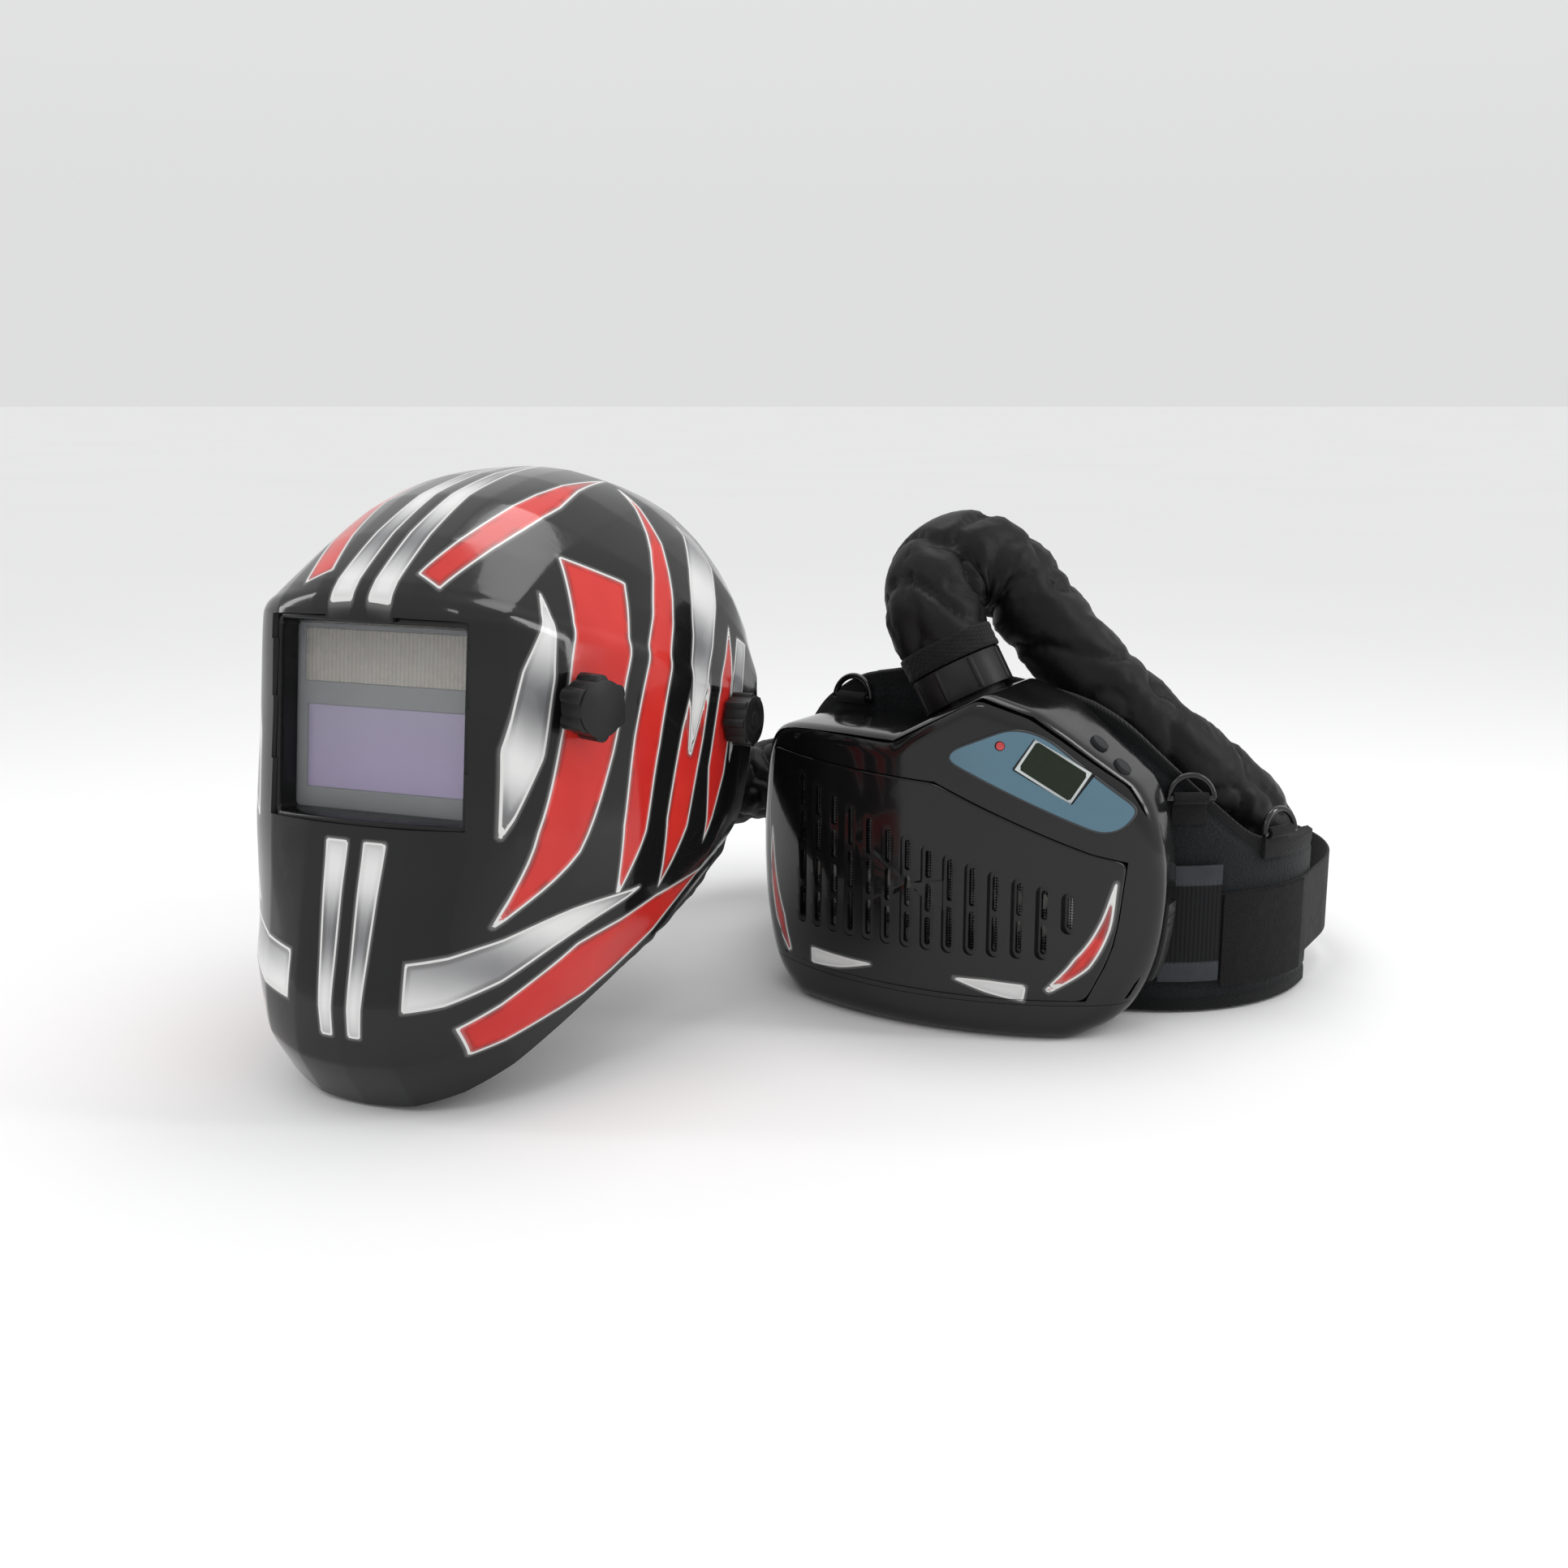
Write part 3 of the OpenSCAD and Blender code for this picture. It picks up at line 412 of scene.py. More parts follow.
# nylon of the hose sleeve
m = Mat("sleeve_nylon")
u, v = m.attr("pu"), m.attr("pv")
w = m.math("MULTIPLY", m.sine(u, 0.8), m.sine(v, 0.8))
cr_n = m.noise(60, 4, 0.55)
m.set(color=m.mix(m.lin(cr_n, 0.3, 0.7), (0.0022, 0.0022, 0.0026), (0.0042, 0.0041, 0.0047)), rough=m.lin(m.noise(35, 3), 0.3, 0.7, 0.38, 0.54), sheen=0.01, sheen_rough=0.35, spec=0.22)
m.bump(w, 0.08, 0.5).bump(m.noise(95, 3, 0.55), 0.9, 0.6)
M["sleeve"] = m

# spacer fabric of the pad: open mesh in the field, tight ribbed tape on the edge
m = Mat("pad_spacer_fabric")
u, v, e = m.attr("pu"), m.attr("pv"), m.attr("edge")
vor = m.n("ShaderNodeTexVoronoi", feature="F1")
cmb = m.n("ShaderNodeCombineXYZ")
m.wire(cmb.inputs[0], u)
m.wire(cmb.inputs[1], v)
m.wire(vor.inputs["Vector"], cmb.outputs[0])
vor.inputs["Scale"].default_value = 0.62
cell = vor.outputs["Distance"]
rib = m.sine(m.math("ADD", u, m.math("MULTIPLY", v, 0.6)), 1.5)
field = m.mix(m.lin(cell, 0.1, 0.75), (0.0032, 0.0036, 0.004), (0.012, 0.014, 0.015))
tape = m.mix(rib, (0.0035, 0.0037, 0.004), (0.0095, 0.010, 0.011))
k = m.step(e, 8.6, 9.2)
m.set(color=m.mix(k, tape, m.mix(m.lin(m.noise(24, 4), 0.3, 0.7), field, (0.011, 0.0125, 0.0135))), rough=0.9, sheen=0.12, sheen_rough=0.5, spec=0.15)
hh = m.math("ADD", m.math("MULTIPLY", cell, k), m.math("MULTIPLY", rib, m.math("SUBTRACT", 1.0, k)))
m.bump(hh, 0.4, 0.8)
M["pad"] = m

# elastic panel: vertical ribs between two satin bands
m = Mat("elastic_panel")
u, v = m.attr("pu"), m.attr("pv")
rb = m.sine(u, 2.6)
satin = m.math("ADD", m.step(v, 11.5, 12.5, 1, 0), m.step(v, 57.5, 58.5))
fieldc = m.mix(rb, (0.003, 0.003, 0.0035), (0.0125, 0.013, 0.0145))
m.set(color=m.mix(satin, fieldc, m.mix(m.noise(120, 3), (0.016, 0.019, 0.024), (0.034, 0.039, 0.047))), rough=m.lin(satin, 0, 1, 0.85, 0.42), sheen=0.12, sheen_rough=0.4, spec=0.3)
m.bump(m.math("MULTIPLY", rb, m.math("SUBTRACT", 1.0, satin)), 0.7, 0.9).bump(m.sine(v, 0.9), 0.15, 0.5)
M["elastic"] = m

# filter media
m = Mat("filter_media")
m.set(color=m.mix(m.lin(m.noise(160, 5), 0.3, 0.7), (0.55, 0.55, 0.51), (0.80, 0.80, 0.76)), rough=0.95, sheen=0.3, spec=0.15)
m.bump(m.noise(900, 5, 0.7), 0.3, 0.8)
M["media"] = m

# woven steel mesh
m = Mat("steel_mesh")
x = m.xyz()
w1 = m.sine(m.math("MULTIPLY", x[0], 1000.0), 1.6)
w2 = m.sine(m.math("MULTIPLY", x[2], 1000.0), 1.6)
wv = m.math("MAXIMUM", w1, w2)
m.set(color=m.mix(m.step(wv, 0.55, 0.8), (0.02, 0.02, 0.02), (0.55, 0.55, 0.56)), rough=0.35, metal=1.0)
m.bump(wv, 0.5, 1.0)
M["mesh"] = m

# circuit board
m = Mat("circuit_board")
vb = m.n("ShaderNodeTexVoronoi", feature="DISTANCE_TO_EDGE")
m.wire(vb.inputs["Vector"], m.co())
vb.inputs["Scale"].default_value = 320
m.set(color=m.mix(m.step(vb.outputs[0], 0.03, 0.08), (0.45, 0.36, 0.12), (0.01, 0.11, 0.04)), rough=m.lin(m.noise(90, 3), 0.3, 0.7, 0.28, 0.42), coat=0.3)
m.bump(vb.outputs[0], 0.1)
M["board"] = m

# display: light frame round a dark green liquid-crystal field
m = Mat("display_glass")
dv = m.attr("dframe")
lcd = m.mix(m.noise(260, 3), (0.006, 0.013, 0.005), (0.012, 0.021, 0.008))
m.set(color=m.mix(m.step(dv, -0.15, 0.15), lcd, (0.62, 0.66, 0.66)), rough=m.lin(m.noise(60, 2), 0.3, 0.7, 0.14, 0.24), coat=0.05, spec=0.22)
m.bump(m.noise(700, 2), 0.02)
M["display"] = m

# blue printed panel with a dark rim
m = Mat("panel_print")
dv = m.attr("drim")
pc = m.mix(m.lin(m.noise(12, 3), 0.3, 0.7), (0.062, 0.148, 0.205), (0.085, 0.185, 0.250))
m.set(color=m.mix(m.step(dv, -1.35, -1.05), pc, (0.010, 0.014, 0.018)), rough=m.lin(m.noise(200, 3), 0.3, 0.7, 0.30, 0.42), coat=0.25, coat_rough=0.1)
m.bump(m.noise(1100, 2), 0.04)
M["panel"] = m

m = Mat("led_lens")
m.set(color=m.mix(m.noise(900, 2), (0.42, 0.012, 0.014), (0.60, 0.03, 0.03)), rough=m.lin(m.noise(400, 2), 0.3, 0.7, 0.08, 0.16), coat=0.8)
M["led"] = m
m = Mat("grind_button_red")
m.set(color=m.mix(m.noise(300, 2), (0.40, 0.02, 0.016), (0.52, 0.04, 0.03)), rough=m.lin(m.noise(200, 2), 0.3, 0.7, 0.24, 0.36), coat=0.3)
m.bump(m.noise(900, 2), 0.04)
M["grind"] = m
m = Mat("cell_wrap")
m.set(color=m.mix(m.lin(m.noise(60, 3), 0.3, 0.7), (0.010, 0.13, 0.09), (0.02, 0.20, 0.14)), rough=m.lin(m.noise(200, 2), 0.3, 0.7, 0.2, 0.34), coat=0.4)
m.bump(m.noise(500, 2), 0.05)
M["cells"] = m
m = Mat("hose_rubber")
m.set(color=m.mix(m.noise(40, 3), (0.018, 0.018, 0.019), (0.032, 0.032, 0.034)), rough=m.lin(m.noise(100, 3), 0.3, 0.7, 0.5, 0.66))
m.bump(m.sine(m.math("MULTIPLY", m.xyz()[2], 1000.0), 4.0), 0.8, 0.7)
M["hose"] = m

# window pieces
m = Mat("cover_lens_clear")
m.set(color=m.mix(m.noise(20, 2), (0.80, 0.84, 0.86), (0.90, 0.92, 0.93)), rough=m.lin(m.noise(90, 3), 0.3, 0.7, 0.02, 0.06), alpha=0.10, spec=0.5, coat=0.4, coat_rough=0.03)
m.m.surface_render_method = "BLENDED"
M["cover"] = m
m = Mat("filter_glass_violet")
zz = m.attr("gz")
m.set(color=m.mix(m.lin(zz, 0, 1), (0.215, 0.150, 0.335), m.mix(m.noise(10, 2), (0.185, 0.140, 0.270), (0.215, 0.168, 0.300))), rough=m.lin(m.noise(50, 2), 0.3, 0.7, 0.10, 0.18), coat=0.6, coat_rough=0.04)
m.bump(m.noise(400, 2), 0.01)
M["glass"] = m
m = Mat("solar_cell_film")
xs = m.math("MULTIPLY", m.attr("gx"), 1.0)
lines = m.step(m.sine(xs, 2.4), 0.78, 0.95)
m.set(color=m.mix(lines, m.mix(m.lin(m.noise(14, 3), 0.3, 0.7), (0.205, 0.180, 0.140), (0.275, 0.245, 0.200)), (0.150, 0.132, 0.106)), rough=m.lin(m.noise(160, 3), 0.3, 0.7, 0.22, 0.34), coat=0.4, coat_rough=0.06)
m.bump(lines, 0.05, 0.5)
M["solar"] = m
m = matte("cartridge_plastic", (0.085, 0.088, 0.094), 0.4, 0.05, 0.15)
M["cartridge"] = m


def painted(name, base, red_attr, sil_attr, blk_attr=None, phase=0.6):
    """Gloss black shell with red and silver streaks, thin pale outlines and airbrushed shade printed at their edges;
    the silver also carries painted reflection, light and dark bands set by position.
    """
    m = Mat(name)
    dr, ds = m.attr(red_attr), m.attr(sil_attr)
    blot = m.noise(11, 3)
    fine = m.noise(48, 4)
    # silver: painted reflection, light to dark bands along the height that stand in for the silver mirroring its
    # surroundings
    pos = m.xyz()
    silver_reflection_bands = m.sine(m.math("MULTIPLY", m.math("ADD", pos[2], m.math("MULTIPLY", pos[1], 0.5)), 1000.0), 74.0, phase)
    sil = m.mix(m.lin(m.math("ADD", m.math("MULTIPLY", blot, 0.35), m.math("MULTIPLY", silver_reflection_bands, 0.65)), 0.2, 0.85), (0.74, 0.74, 0.735), (0.185, 0.187, 0.195))
    # airbrushed dark edge inside the silver print, deepest where the painted reflection bands are dark
    sil = m.mix(m.math("MULTIPLY", m.step(ds, -3.4, -0.5, 0, 0.8), m.lin(silver_reflection_bands, 0.25, 0.9, 0.15, 1.0)), sil, (0.03, 0.03, 0.032))
    # red, darker at the edge
    red = m.mix(m.lin(blot, 0.35, 0.65), (0.500, 0.016, 0.014), (0.640, 0.034, 0.026))
    red = m.mix(m.math("MULTIPLY", m.step(dr, -4.0, -0.6, 0, 0.75), m.step(fine, 0.42, 0.60)), red, (0.10, 0.008, 0.008))
    c = m.mix(m.lin(m.noise(7, 2), 0.35, 0.65), scl(base, 0.85), scl(base, 1.2))
    c = m.mix(m.step(ds, -0.12, 0.12, 1, 0), c, sil)
    c = m.mix(m.step(dr, -0.12, 0.12, 1, 0), c, red)
    near = m.math("MINIMUM", m.math("ABSOLUTE", dr), m.math("ABSOLUTE", ds))
    line = m.step(near, 0.42, 0.68, 1, 0)
    glow = m.step(near, 0.6, 2.4, 0.16, 0)
    out = m.math("MAXIMUM", line, glow)
    c = m.mix(out, c, (0.70, 0.70, 0.69))
    if blk_attr:
        c = m.mix(m.step(m.attr(blk_attr), -0.2, 0.2, 1, 0), c, scl(base, 1.0))
    m.set(color=c, rough=m.lin(m.noise(60, 4), 0.3, 0.7, 0.10, 0.18), coat=0.25, coat_rough=0.04, spec=0.26)
    m.bump(m.noise(300, 2), 0.03)
    return m


M["shell"] = painted("shell_paint", BLACK, "d_red", "d_sil", "d_blk")
# the phase shifts the painted reflection bands so that the blower's silver comes out light
M["casepaint"] = painted("case_paint", BLACK, "d_red", "d_sil", phase=3.6)

# ------------------------------------------------------------------ hose (the free cord)
sleeve_pts = [[-0.3, -2, 202.4], [-4.1, -2, 209.2], [-7.6, -1.7, 215.6], [-12, -0.5, 223.5], [-16.5, 3, 232], [-19, 10, 242], [-18, 21, 251.5], [-11, 33, 257], [0, 44.5, 254.5], [12, 53.5, 244.5], [24, 60, 229], [40, 64.5, 209], [59, 68, 189],
              [80, 74, 169], [102, 86, 148], [121, 106, 127], [133, 130, 105], [135, 155, 82], [129, 180, 61], [114, 202, 43], [93, 219, 31], [67, 230, 26.5], [40, 233, 26], [12, 230, 28],
              [-14, 225, 33], [-40, 219, 43], [-67, 213, 57], [-95, 207, 75], [-122, 201, 92], [-148, 194, 101], [-172, 184, 102], [-190, 173, 96], [-207, 159, 88], [-221, 143, 83], [-231, 126, 82],
              [-238, 109, 87], [-242, 95, 97], [-244, 85, 110], [-244.6, 77, 125], [-244.2, 70.2, 139], [-243.2, 63.5, 150.5], [-242, 56.5, 159.1], [-240.9, 49.6, 166.1], [-239.8, 42.6, 173.2], [-238.7, 35.6, 180.3]]
route = resample(cr_open(sleeve_pts, 60), 2.5)


def frames(p):
    t = np.gradient(p, axis=0)
    t /= np.linalg.norm(t, axis=1)[:, None]
    u = np.array([1, 0, 0.2])
    U, V = [], []
    for i in range(len(p)):
        v = u - (u @ t[i]) * t[i]
        v /= np.linalg.norm(v)
        U.append(v)
        V.append(np.cross(t[i], v))
        u = v
    return t, np.array(U), np.array(V)


def tube(name, p, radius, n, mats, caps=True):
    """radius(i, angles) gives the radii of ring i."""
    t, U, V = frames(p)
    a = np.arange(n) * 2 * math.pi / n
    verts, pu, pv = [], [], []
    s = np.r_[0, np.cumsum(np.linalg.norm(np.diff(p, axis=0), axis=1))]
    for i in range(len(p)):
        r = radius(i, a)
        verts.append(p[i] + r[:, None] * (np.cos(a)[:, None] * U[i] + np.sin(a)[:, None] * V[i]))
        pu.append(np.full(n, s[i]))
        pv.append(np.abs(a - math.pi) * 25)
    verts = np.vstack(verts)
    m_ = len(p)
    faces = [(i * n + k, i * n + (k + 1) % n, (i + 1) * n + (k + 1) % n, (i + 1) * n + k) for i in range(m_ - 1) for k in range(n)]
    pu, pv = np.hstack(pu), np.hstack(pv)
    if caps:
        verts = np.vstack([verts, p[0], p[-1]])
        faces += [(len(verts) - 2, (k + 1) % n, k) for k in range(n)]
        j = (m_ - 1) * n
        faces += [(len(verts) - 1, j + k, j + (k + 1) % n) for k in range(n)]
        pu, pv = np.r_[pu, 0, s[-1]], np.r_[pv, 0, 0]
    ob = make(name, verts, faces, mats)
    put_attr(ob, "pu", pu)
    put_attr(ob, "pv", pv)
    return ob


hose_s = np.r_[0, np.cumsum(np.linalg.norm(np.diff(route, axis=0), axis=1))]
hose_len = hose_s[-1]
bend = np.linalg.norm(np.gradient(np.gradient(route, axis=0), axis=0), axis=1)
bend = np.convolve(bend, np.ones(9) / 9, "same")
bend = bend / bend.max()
tan_, U_, V_ = frames(route)
curv = np.gradient(np.gradient(route, axis=0), axis=0)


def hose_r(i, a):
    """Gathered nylon: soft puffs, with sharp creases where they meet, closest together inside a bend."""
    t_ = hose_s[i]
    end = min(t_, hose_len - t_)
    b = bend[i]
    ci = np.array([curv[i] @ (math.cos(x) * U_[i] + math.sin(x) * V_[i]) for x in a])
    ci = ci / (np.abs(ci).max() + 1e-9)
    out = np.zeros(len(a))
    for k, x in enumerate(a):
        c_, d_ = math.cos(x), math.sin(x)
        skew = t_ + 9 * noise.noise(Vector((c_ * 0.9, d_ * 0.9, t_ / 90.0)))
        q = Vector((skew / 24.0 + 0.25 * (c_ + d_), 0.75 * c_, 0.75 * d_))
        q2 = Vector((skew / 7.0 + 40, 1.2 * c_, 1.2 * d_))
        q3 = Vector((t_ / 55.0, 0.8 * c_ + 9, 0.8 * d_))
        puff = min(1.0, abs(noise.noise(q)) * 3.0) ** 0.5
        fine = min(1.0, abs(noise.noise(q2)) * 3.0) ** 0.5
        gather = 1.0 + 0.9 * max(0.0, ci[k]) * b
        out[k] = (3.2 + 3.4 * b) * gather * (puff - 0.62) + (0.8 + 1.2 * b) * (fine - 0.62) + 2.0 * noise.noise(q3)
    fade = min(1.0, end / 14.0)
    elbow = math.exp(-((t_ - 62) / 34.0) ** 2)
    r = 25.0 + 1.0 * b + 3.4 * elbow * np.clip(0.5 - ci, 0, 1)
    return np.clip(r * (0.955 + 0.045 * fade) + out * fade, 18.5, 31.5)


hose = tube("hose_sleeve_cloth", route, hose_r, 96, [M["sleeve"].m])
co_ = coords(hose)
co_[:, 2] = np.maximum(co_[:, 2], 0.25)   # it lies flat where it meets the floor
hose.data.vertices.foreach_set("co", (co_ * MM).astype(np.float32).ravel())
hose.data.update()
finish_piece(hose, "hose_sleeve")


# cuffs: elastic webbing tape
def at_outlet(p):
    p = np.asarray(p, float)
    a = math.radians(-29)
    R = np.array([[math.cos(a), 0, math.sin(a)], [0, 1, 0], [-math.sin(a), 0, math.cos(a)]])
    return p @ R.T + np.array([11, -2, 182])


def rot(ax, deg):
    return np.array(Matrix.Rotation(math.radians(deg), 3, ax))


def hose_end(p):
    return np.asarray(p, float) @ (rot("Z", 9) @ rot("X", -135)).T + np.array([-239.4, 39.9, 176])


def lathe(name, prof, n, place, mats, wob=0.0, seed=0):
    """Turns a closed (r, z) profile about local z."""
    a = np.arange(n) * 2 * math.pi / n
    V_ = []
    for k, x in enumerate(a):
        for j, (r, z) in enumerate(prof):
            rr = r + wob * noise.noise(Vector((3 * math.cos(x), 3 * math.sin(x), z / 9.0 + seed)))
            V_.append((rr * math.cos(x), rr * math.sin(x), z))
    m_ = len(prof)
    F = [(k * m_ + j, ((k + 1) % n) * m_ + j, ((k + 1) % n) * m_ + (j + 1) % m_, k * m_ + (j + 1) % m_) for k in range(n) for j in range(m_)]
    return make(name, place(V_), F, mats)


cuff_prof = [(25.7, 0.2), (27.4, 0), (28.0, 0.5), (28.15, 2), (27.7, 4.4), (28.05, 6.8), (27.7, 9.2), (28.1, 11.8), (27.9, 13.4), (27.2, 14), (25.7, 13.8)]
cuff1 = lathe("cuff_blower_tape", cuff_prof, 96, lambda v: at_outlet(np.array(v) + [0, 0, 24]), [M["cuff"].m], 0.35)
finish_piece(cuff1, "cuff_blower")
cuff2 = lathe("cuff_helmet_tape", [(r - 0.4, z) for r, z in cuff_prof], 96, hose_end, [M["cuff"].m], 0.35, 5)
finish_piece(cuff2, "cuff_helmet")


# ------------------------------------------------------------------ blower case
case_left = [[-14, 168], [-55, 168], [-96, 164], [-114, 151], [-121, 120], [-123, 82], [-118, 45], [-105, 15], [-84, 0]]
case_right = [[88, 0], [110, 13], [124, 40], [129, 75], [128, 104], [122, 130], [114, 147]]
case_pts = np.vstack([cr_open(case_left, 4), cr_open(case_right, 4), [[82, 174], [66, 186], [38, 196]]])
FR, CX, CY = 190.0, -5.0, 132.0


def face_y(x, r=FR):
    return CY - np.sqrt(np.maximum(r * r - (np.asarray(x, float) - CX) ** 2, 1))


def ring_solid(name, outline, centre, front, back, rf, rb, inset_=0.05, mats=(), step=2.4, fine=None):
    """A closed solid inside an XZ outline, its front face following front(x), its back face back(x), with rounded edges.
    rf and rb give the rounding radius at the front and back edge, as functions of x."""
    o = smooth_closed(resample(outline, step, True), 3)
    c = np.array(centre, float)
    d0 = np.linalg.norm(o - c, axis=1)
    o = c + (o - c) * (1 - inset_ / d0)[:, None]
    n = len(o)
    dist = fine or [0, 0.25, 0.7, 1.4, 2.3, 3.4, 4.8, 6.4, 8.2, 10.2, 12.5, 15, 18, 21, 24, 27, 30, 33, 36, 40, 44, 48, 52, 56, 60, 65, 70, 75, 80, 85, 90]
    rings = []

    def layer(dd, side):
        f = np.clip(1 - dd / d0, 0.02, 1)
        p = c + (o - c) * f[:, None]
        if side == "f":
            r = rf(o[:, 0])
            e = np.clip(r - np.minimum(dd * 0.98, r), 0, None)
            y = front(p[:, 0]) + (r - np.sqrt(np.maximum(r * r - e * e, 0)))
        else:
            r = rb(o[:, 0])
            e = np.clip(r - np.minimum(dd * 0.98, r), 0, None)
            y = back(p[:, 0]) - (r - np.sqrt(np.maximum(r * r - e * e, 0)))
        return np.stack([p[:, 0], y, p[:, 1]], 1)

    fronts = [layer(d, "f") for d in dist]
    backs = [layer(d, "b") for d in dist]
    wall = []
    for k in (0.2, 0.4, 0.6, 0.8):
        wall.append(fronts[0] * (1 - k) + backs[0] * k)
    rings = fronts[::-1] + wall + backs
    V_ = np.vstack(rings)
    F = []
    for i in range(len(rings) - 1):
        for k in range(n):
            F.append((i * n + k, (i + 1) * n + k, (i + 1) * n + (k + 1) % n, i * n + (k + 1) % n))
    cf = rings[0].mean(0)
    cb = rings[-1].mean(0)
    V_ = np.vstack([V_, cf, cb])
    a, b = len(V_) - 2, len(V_) - 1
    F += [(a, k, (k + 1) % n) for k in range(n)]
    j = (len(rings) - 1) * n
    F += [(b, j + (k + 1) % n, j + k) for k in range(n)]
    ob = make(name, V_, F, mats)
    bm = bmesh.new()
    bm.from_mesh(ob.data)
    bmesh.ops.recalc_face_normals(bm, faces=bm.faces)
    bm.to_mesh(ob.data)
    bm.free()
    return ob


def case_round():
    return ring_solid("round_case", case_pts, (0, 92), lambda x: face_y(x, FR - 0.05), lambda x: np.full(np.shape(x), 23.95),
                      lambda x: np.clip((3.0 - face_y(x)) * 0.8, 2.0, 11.0), lambda x: np.full(np.shape(x), 5.0))


RED_CASE = [blade([(-106, 100), (-105, 70), (-98, 46), (-88, 28)], [0, 3.2, 5.0, 1.2]),
            blade([(109, 92), (104, 66), (94, 46), (78, 30)], [0, 2.6, 4.2, 1.0])]
SIL_CASE = [blade([(-68, 30), (-46, 31), (-24, 34)], [4.5, 3.0, 0]), blade([(28, 34), (46, 31), (66, 28)], [0, 3.0, 4.5])]


def case_paint(ob):
    p = coords(ob)
    q = p[:, [0, 2]]
    dr = np.min([sdf(q, x) for x in RED_CASE], 0)
    ds = np.min([sdf(q, x) for x in SIL_CASE], 0)
    away = p[:, 1] > -4.5
    dr[away], ds[away] = 30, 30
    put_attr(ob, "d_red", dr)
    put_attr(ob, "d_sil", ds)


def fit_round(node, mat):
    ob = tidy_copy(node)
    ob.data.materials.clear()
    ob.data.materials.append(mat)
    r = case_round()
    r.data.materials.append(mat)
    boolean(ob, r, "INTERSECT")
    sharp_by_angle(ob, 32)
    finish_piece(ob, node)
    return ob


front = fit_round("front_housing", M["casepaint"].m)
case_paint(front)
rear = fit_round("rear_housing", M["case"].m)
batt = fit_round("battery_case", M["case"].m)

# filter cover, its louvres cut with round ends
cover_pts = np.vstack([[[-104, 150]], cr_open([[-110, 112], [-107, 66], [-93, 25]], 3), cr_open([[96, 24], [108, 56], [113, 103]], 3), [[97, 108], [14, 145]]])
lx0, ldx, lw = -77, 12.65, 3.6


def ltop(x):
    return float(np.interp(x, [-77, 18, 88], [138, 104, 84]))


def lbot(i):
    return 66.0 if i == 13 else 51.0


def capsules(name, items, y0, y1):
    """Upright slots with round ends. items are (x, z0, z1, half width)."""
    V_, F = [], []
    for x, z0, z1, w, ya, yb in items:
        a = np.linspace(0, math.pi, 9)
        top = [(x + w * math.cos(t), z1 - w + w * math.sin(t)) for t in a]
        bot = [(x - w * math.cos(t), z0 + w - w * math.sin(t)) for t in a]
        ring = top + bot
        b = len(V_)
        n = len(ring)
        V_ += [(p[0], ya, p[1]) for p in ring] + [(p[0], yb, p[1]) for p in ring]
        F.append(tuple(b + k for k in range(n)))
        F.append(tuple(b + n + k for k in range(n - 1, -1, -1)))
        F += [(b + k, b + n + k, b + n + (k + 1) % n, b + (k + 1) % n) for k in range(n)]
    ob = make(name, V_, F)
    bm = bmesh.new()
    bm.from_mesh(ob.data)
    bmesh.ops.recalc_face_normals(bm, faces=bm.faces)
    bm.to_mesh(ob.data)
    bm.free()
    return ob


cover = ring_solid("filter_cover_look", cover_pts, (0, 86), lambda x: face_y(x, FR + 1.15), lambda x: np.minimum(face_y(x, FR - 2.8), -2.2),
                   lambda x: np.full(np.shape(x), 1.1), lambda x: np.full(np.shape(x), 0.4), mats=[M["casepaint"].m],
                   fine=[0, 0.3, 0.7, 1.2, 2, 3.2, 4.6, 6, 8, 10, 12, 14, 17, 20, 23, 26, 29, 33, 37, 41, 45, 50, 55, 60, 66, 72, 80])
items, slots_ = [], []
for i in range(14):
    x = lx0 + i * ldx
    b, t = lbot(i), ltop(x)
    fy = float(face_y(x))
    items.append((x, b - 3, t + 3, 4.1, -80, fy - 0.15))
    k = max(1, round((t - b) / 21))
    dz = (t - b + 3) / k
    for j in range(k):
        slots_.append((x, b + j * dz, b + (j + 1) * dz - 3, lw / 2, -80, 0))
boolean(cover, capsules("c1", items, 0, 0))
boolean(cover, capsules("c2", slots_, 0, 0))
sharp_by_angle(cover, 30)
case_paint(cover)
finish_piece(cover, "filter_cover")

# blue panel with rounded corners, following the bowed face
panel_raw = [[22, 164], [20, 158], [101, 119], [111, 121], [119, 133], [76, 172], [66, 177], [54, 178]]
pr_ = smooth_closed(resample(panel_raw, 1.2, True), 26)
lo_hole = None


def lcd_xz(p):
    """Turns points of the display's own plane into X and Z."""
    a = math.radians(32)
    R = np.array([[math.cos(a), math.sin(a)], [-math.sin(a), math.cos(a)]])
    return np.asarray(p, float) @ R.T + np.array([77, 154.5])


def lcd_local(q):
    a = math.radians(32)
    R = np.array([[math.cos(a), math.sin(a)], [-math.sin(a), math.cos(a)]])
    return (np.asarray(q, float) - np.array([77, 154.5])) @ R


panel = ring_solid("control_panel_look", pr_, (72, 150), lambda x: face_y(x, FR + 0.85), lambda x: face_y(x, FR + 0.05), lambda x: np.full(np.shape(x), 0.35), lambda x: np.full(np.shape(x), 0.1),
                   mats=[M["panel"].m], step=1.2, fine=[0, 0.2, 0.5, 1, 1.8, 3, 4.5, 6, 8, 10, 12.5, 15, 18, 21, 24, 28, 32, 36, 40])


def prism(name, poly, y0, y1):
    n = len(poly)
    V_ = [(x, y0, z) for x, z in poly] + [(x, y1, z) for x, z in poly]
    F = [tuple(range(n)), tuple(range(2 * n - 1, n - 1, -1))] + [(k, n + k, n + (k + 1) % n, (k + 1) % n) for k in range(n)]
    ob = make(name, V_, F)
    bm = bmesh.new()
    bm.from_mesh(ob.data)
    bmesh.ops.recalc_face_normals(bm, faces=bm.faces)
    bm.to_mesh(ob.data)
    bm.free()
    return ob


